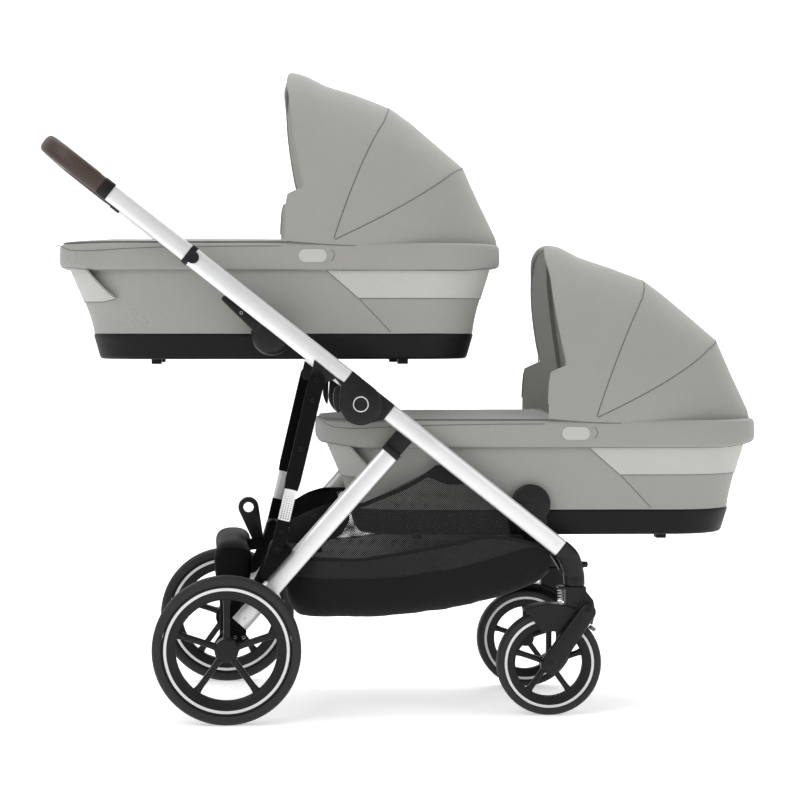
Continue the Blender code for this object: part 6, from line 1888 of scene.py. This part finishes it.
def makeBasket():
    x0, x1 = basket["floor"][0][0], basket["floor"][-1][0]
    spots = [between(x0, x1, i / 84) for i in range(85)]
    cloth = basket["cloth"]
    tub = slabMesh("tub", [basketSection(x, 0.0) for x in spots], [basketSection(x, -cloth) for x in spots])
    ends = []
    for x, shift, top in ((x0, cloth * 1.4, lookup(basket["top"], x0)), (x1, -cloth * 1.4, basketEdge(x1))):
        ends.append(loftMesh("end", [basketSection(x, -0.0002, top),
                                     [p + Vector((shift, 0, 0)) for p in basketSection(x, -0.0002, top)]]))
    backing = slabMesh("backing", [basketSection(x, -cloth - 0.0003) for x in spots],
                       [basketSection(x, -cloth - 0.0009) for x in spots])
    nets, tapes, dark, seams, melange = [], [], [], [], []
    for side in sides.values():
        outer, inner = [], []
        for i in range(61):
            x = between(x0 + 0.001, basket["netEnd"], i / 60)
            low, high = basketEdge(x) - 0.004, lookup(basket["top"], x) - 0.0055
            rowA, rowB = [], []
            for k in range(13):
                t = k / 12
                z = between(low, max(high, low + 0.004), t)
                y = basketHalf(x) - 0.0016 - 0.003 * math.sin(math.pi * t)
                rowA.append(Vector((x, side * y, z)))
                rowB.append(Vector((x, side * (y - 0.0007), z)))
            outer.append(rowA)
            inner.append(rowB)
        nets.append(slabMesh("net", outer, inner))
        tapes.append(ribbon(dense(basket["strap"], 60), basket["strapWide"], -0.0012, 0.002, side))
        tapes.append(ribbon([(x, basketEdge(x) - 0.0034) for x, _ in dense(basket["edge"], 70)], 0.007, -0.0004,
                            0.0016, side))
        dark.append(sidePatch(roundCorners(basket["rearPanel"], 0.006, 4), -0.0012, side))
        dark.append(sidePatch(roundCorners(basket["frontPanel"], 0.003, 3), -0.0012, side))
        seams.append(sweepTube("seam", [(x, side * (basketHalf(x) + 0.0016), z)
                                        for x, z in dense(basket["seam"], 70, -0.15, 0.285)], 0.0008, 6))
        outer, inner = [], []
        for i in range(61):
            x = between(*basket["melange"], i / 60)
            high, low = basketEdge(x) - 0.0068, smoothLookup(basket["seam"], x)
            rowA, rowB = [], []
            for k in range(7):
                z = between(low, max(high, low + 0.002), k / 6)
                y = basketHalf(x) + 0.0006 + 0.0006 * math.sin(math.pi * k / 6) \
                    + 0.0006 * noise.noise(Vector((x * 30, z * 12, side)))
                rowA.append(Vector((x, side * (y + 0.001), z)))
                rowB.append(Vector((x, side * (y - 0.0006), z)))
            outer.append(rowA)
            inner.append(rowB)
        melange.append(slabMesh("melange", outer, inner))
        dark.append(sidePatch(roundCorners(basket["pocket"], 0.003, 4), 0.0008, side, 0.0012))
    pieces = [
        addPiece("basketTub", joinMeshes("tub", [tub] + ends), "chassis", "basketCloth", ["basket"], 50),
        # the backing's light colour carries painted light against the shade inside the basket
        addPiece("basketInner", joinMeshes("backing", [backing]), "chassis", "innerCloth"),
        addPiece("basketNets", joinMeshes("nets", nets), "chassis", "net", (), 60),
        addPiece("basketTapes", joinMeshes("tapes", tapes), "chassis", "binding", (), 60),
        addPiece("basketPanels", joinMeshes("panels", dark), "chassis", "binding"),
        addPiece("basketSeams", joinMeshes("seams", seams), "chassis", "binding"),
        addPiece("basketMelange", joinMeshes("melange", melange), "chassis", "melange"),
    ]
    for piece in pieces:
        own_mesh(piece)
    print("basket built")


makeCot("upper")
makeCot("lower")
makeBasket()


# floor and studio light

studio = {"floor": (0.9, 0.9, 0.895), "floorSize": 24.0, "backdrop": 3.2, "bend": 1.2, "floorGlow": 0.45, "world": 0.42,
          "lamps": [("keyLamp", (-2.6, -3.6, 3.6), 3.2, 95.0), ("fillLamp", (3.4, -3.0, 1.8), 3.0, 34.0),
                    ("topLamp", (0.0, 0.4, 4.2), 3.0, 75.0), ("backLamp", (1.5, 3.6, 2.6), 2.8, 30.0)]}


def makeStudio():
    mat, tree, shader = newMaterial("studioFloor")
    speckle = noiseAt(tree, objectPlace(tree), 3.0, 2.0)
    paper = studio["floor"]
    setInputs(tree, shader, Base_Color=mixColour(tree, speckle, tuple(c * 0.985 for c in paper), paper),
              Roughness=0.9, Specular_IOR_Level=0.1, Emission_Color=(1.0, 1.0, 1.0),
              Emission_Strength=studio["floorGlow"])
    size, back = studio["floorSize"], studio["backdrop"]
    # a floor that curves up into the backdrop
    bend = studio["bend"]
    line = [(-size, 0), (back, 0)]
    for k in range(1, 13):
        d = direction(-90 + 90 * k / 12)
        line.append((back + bend * d.x, bend + bend * d.y))
    line.append((back + bend, size * 0.7))
    points = [Vector((x, y, z)) for y, z in line for x in (-size, size)]
    faces = [(2 * i, 2 * i + 1, 2 * i + 3, 2 * i + 2) for i in range(len(line) - 1)]
    mesh = closedMesh("studioFloor", points, faces, turnOut=False)
    mesh.materials.append(mat)
    mesh.shade_smooth()
    obj = linked("studioFloor", mesh)
    for name, place, lampSize, power in studio["lamps"]:
        lamp = bpy.data.lights.new(name, "AREA")
        lamp.size = lampSize
        lamp.energy = power
        lampObj = linked(name, lamp)
        lampObj.location = place
        lampObj.rotation_euler = (Vector((0, 0, 0.55)) - Vector(place)).to_track_quat("-Z", "Y").to_euler()
    world = bpy.context.scene.world or bpy.data.worlds.new("studioWorld")
    bpy.context.scene.world = world
    world.use_nodes = True
    tree = world.node_tree
    setInputs(tree, tree.nodes["Background"], Color=(1.0, 1.0, 1.0), Strength=studio["world"])
    bpy.context.scene.view_settings.view_transform = "Standard"
    print("studio set")


makeStudio()
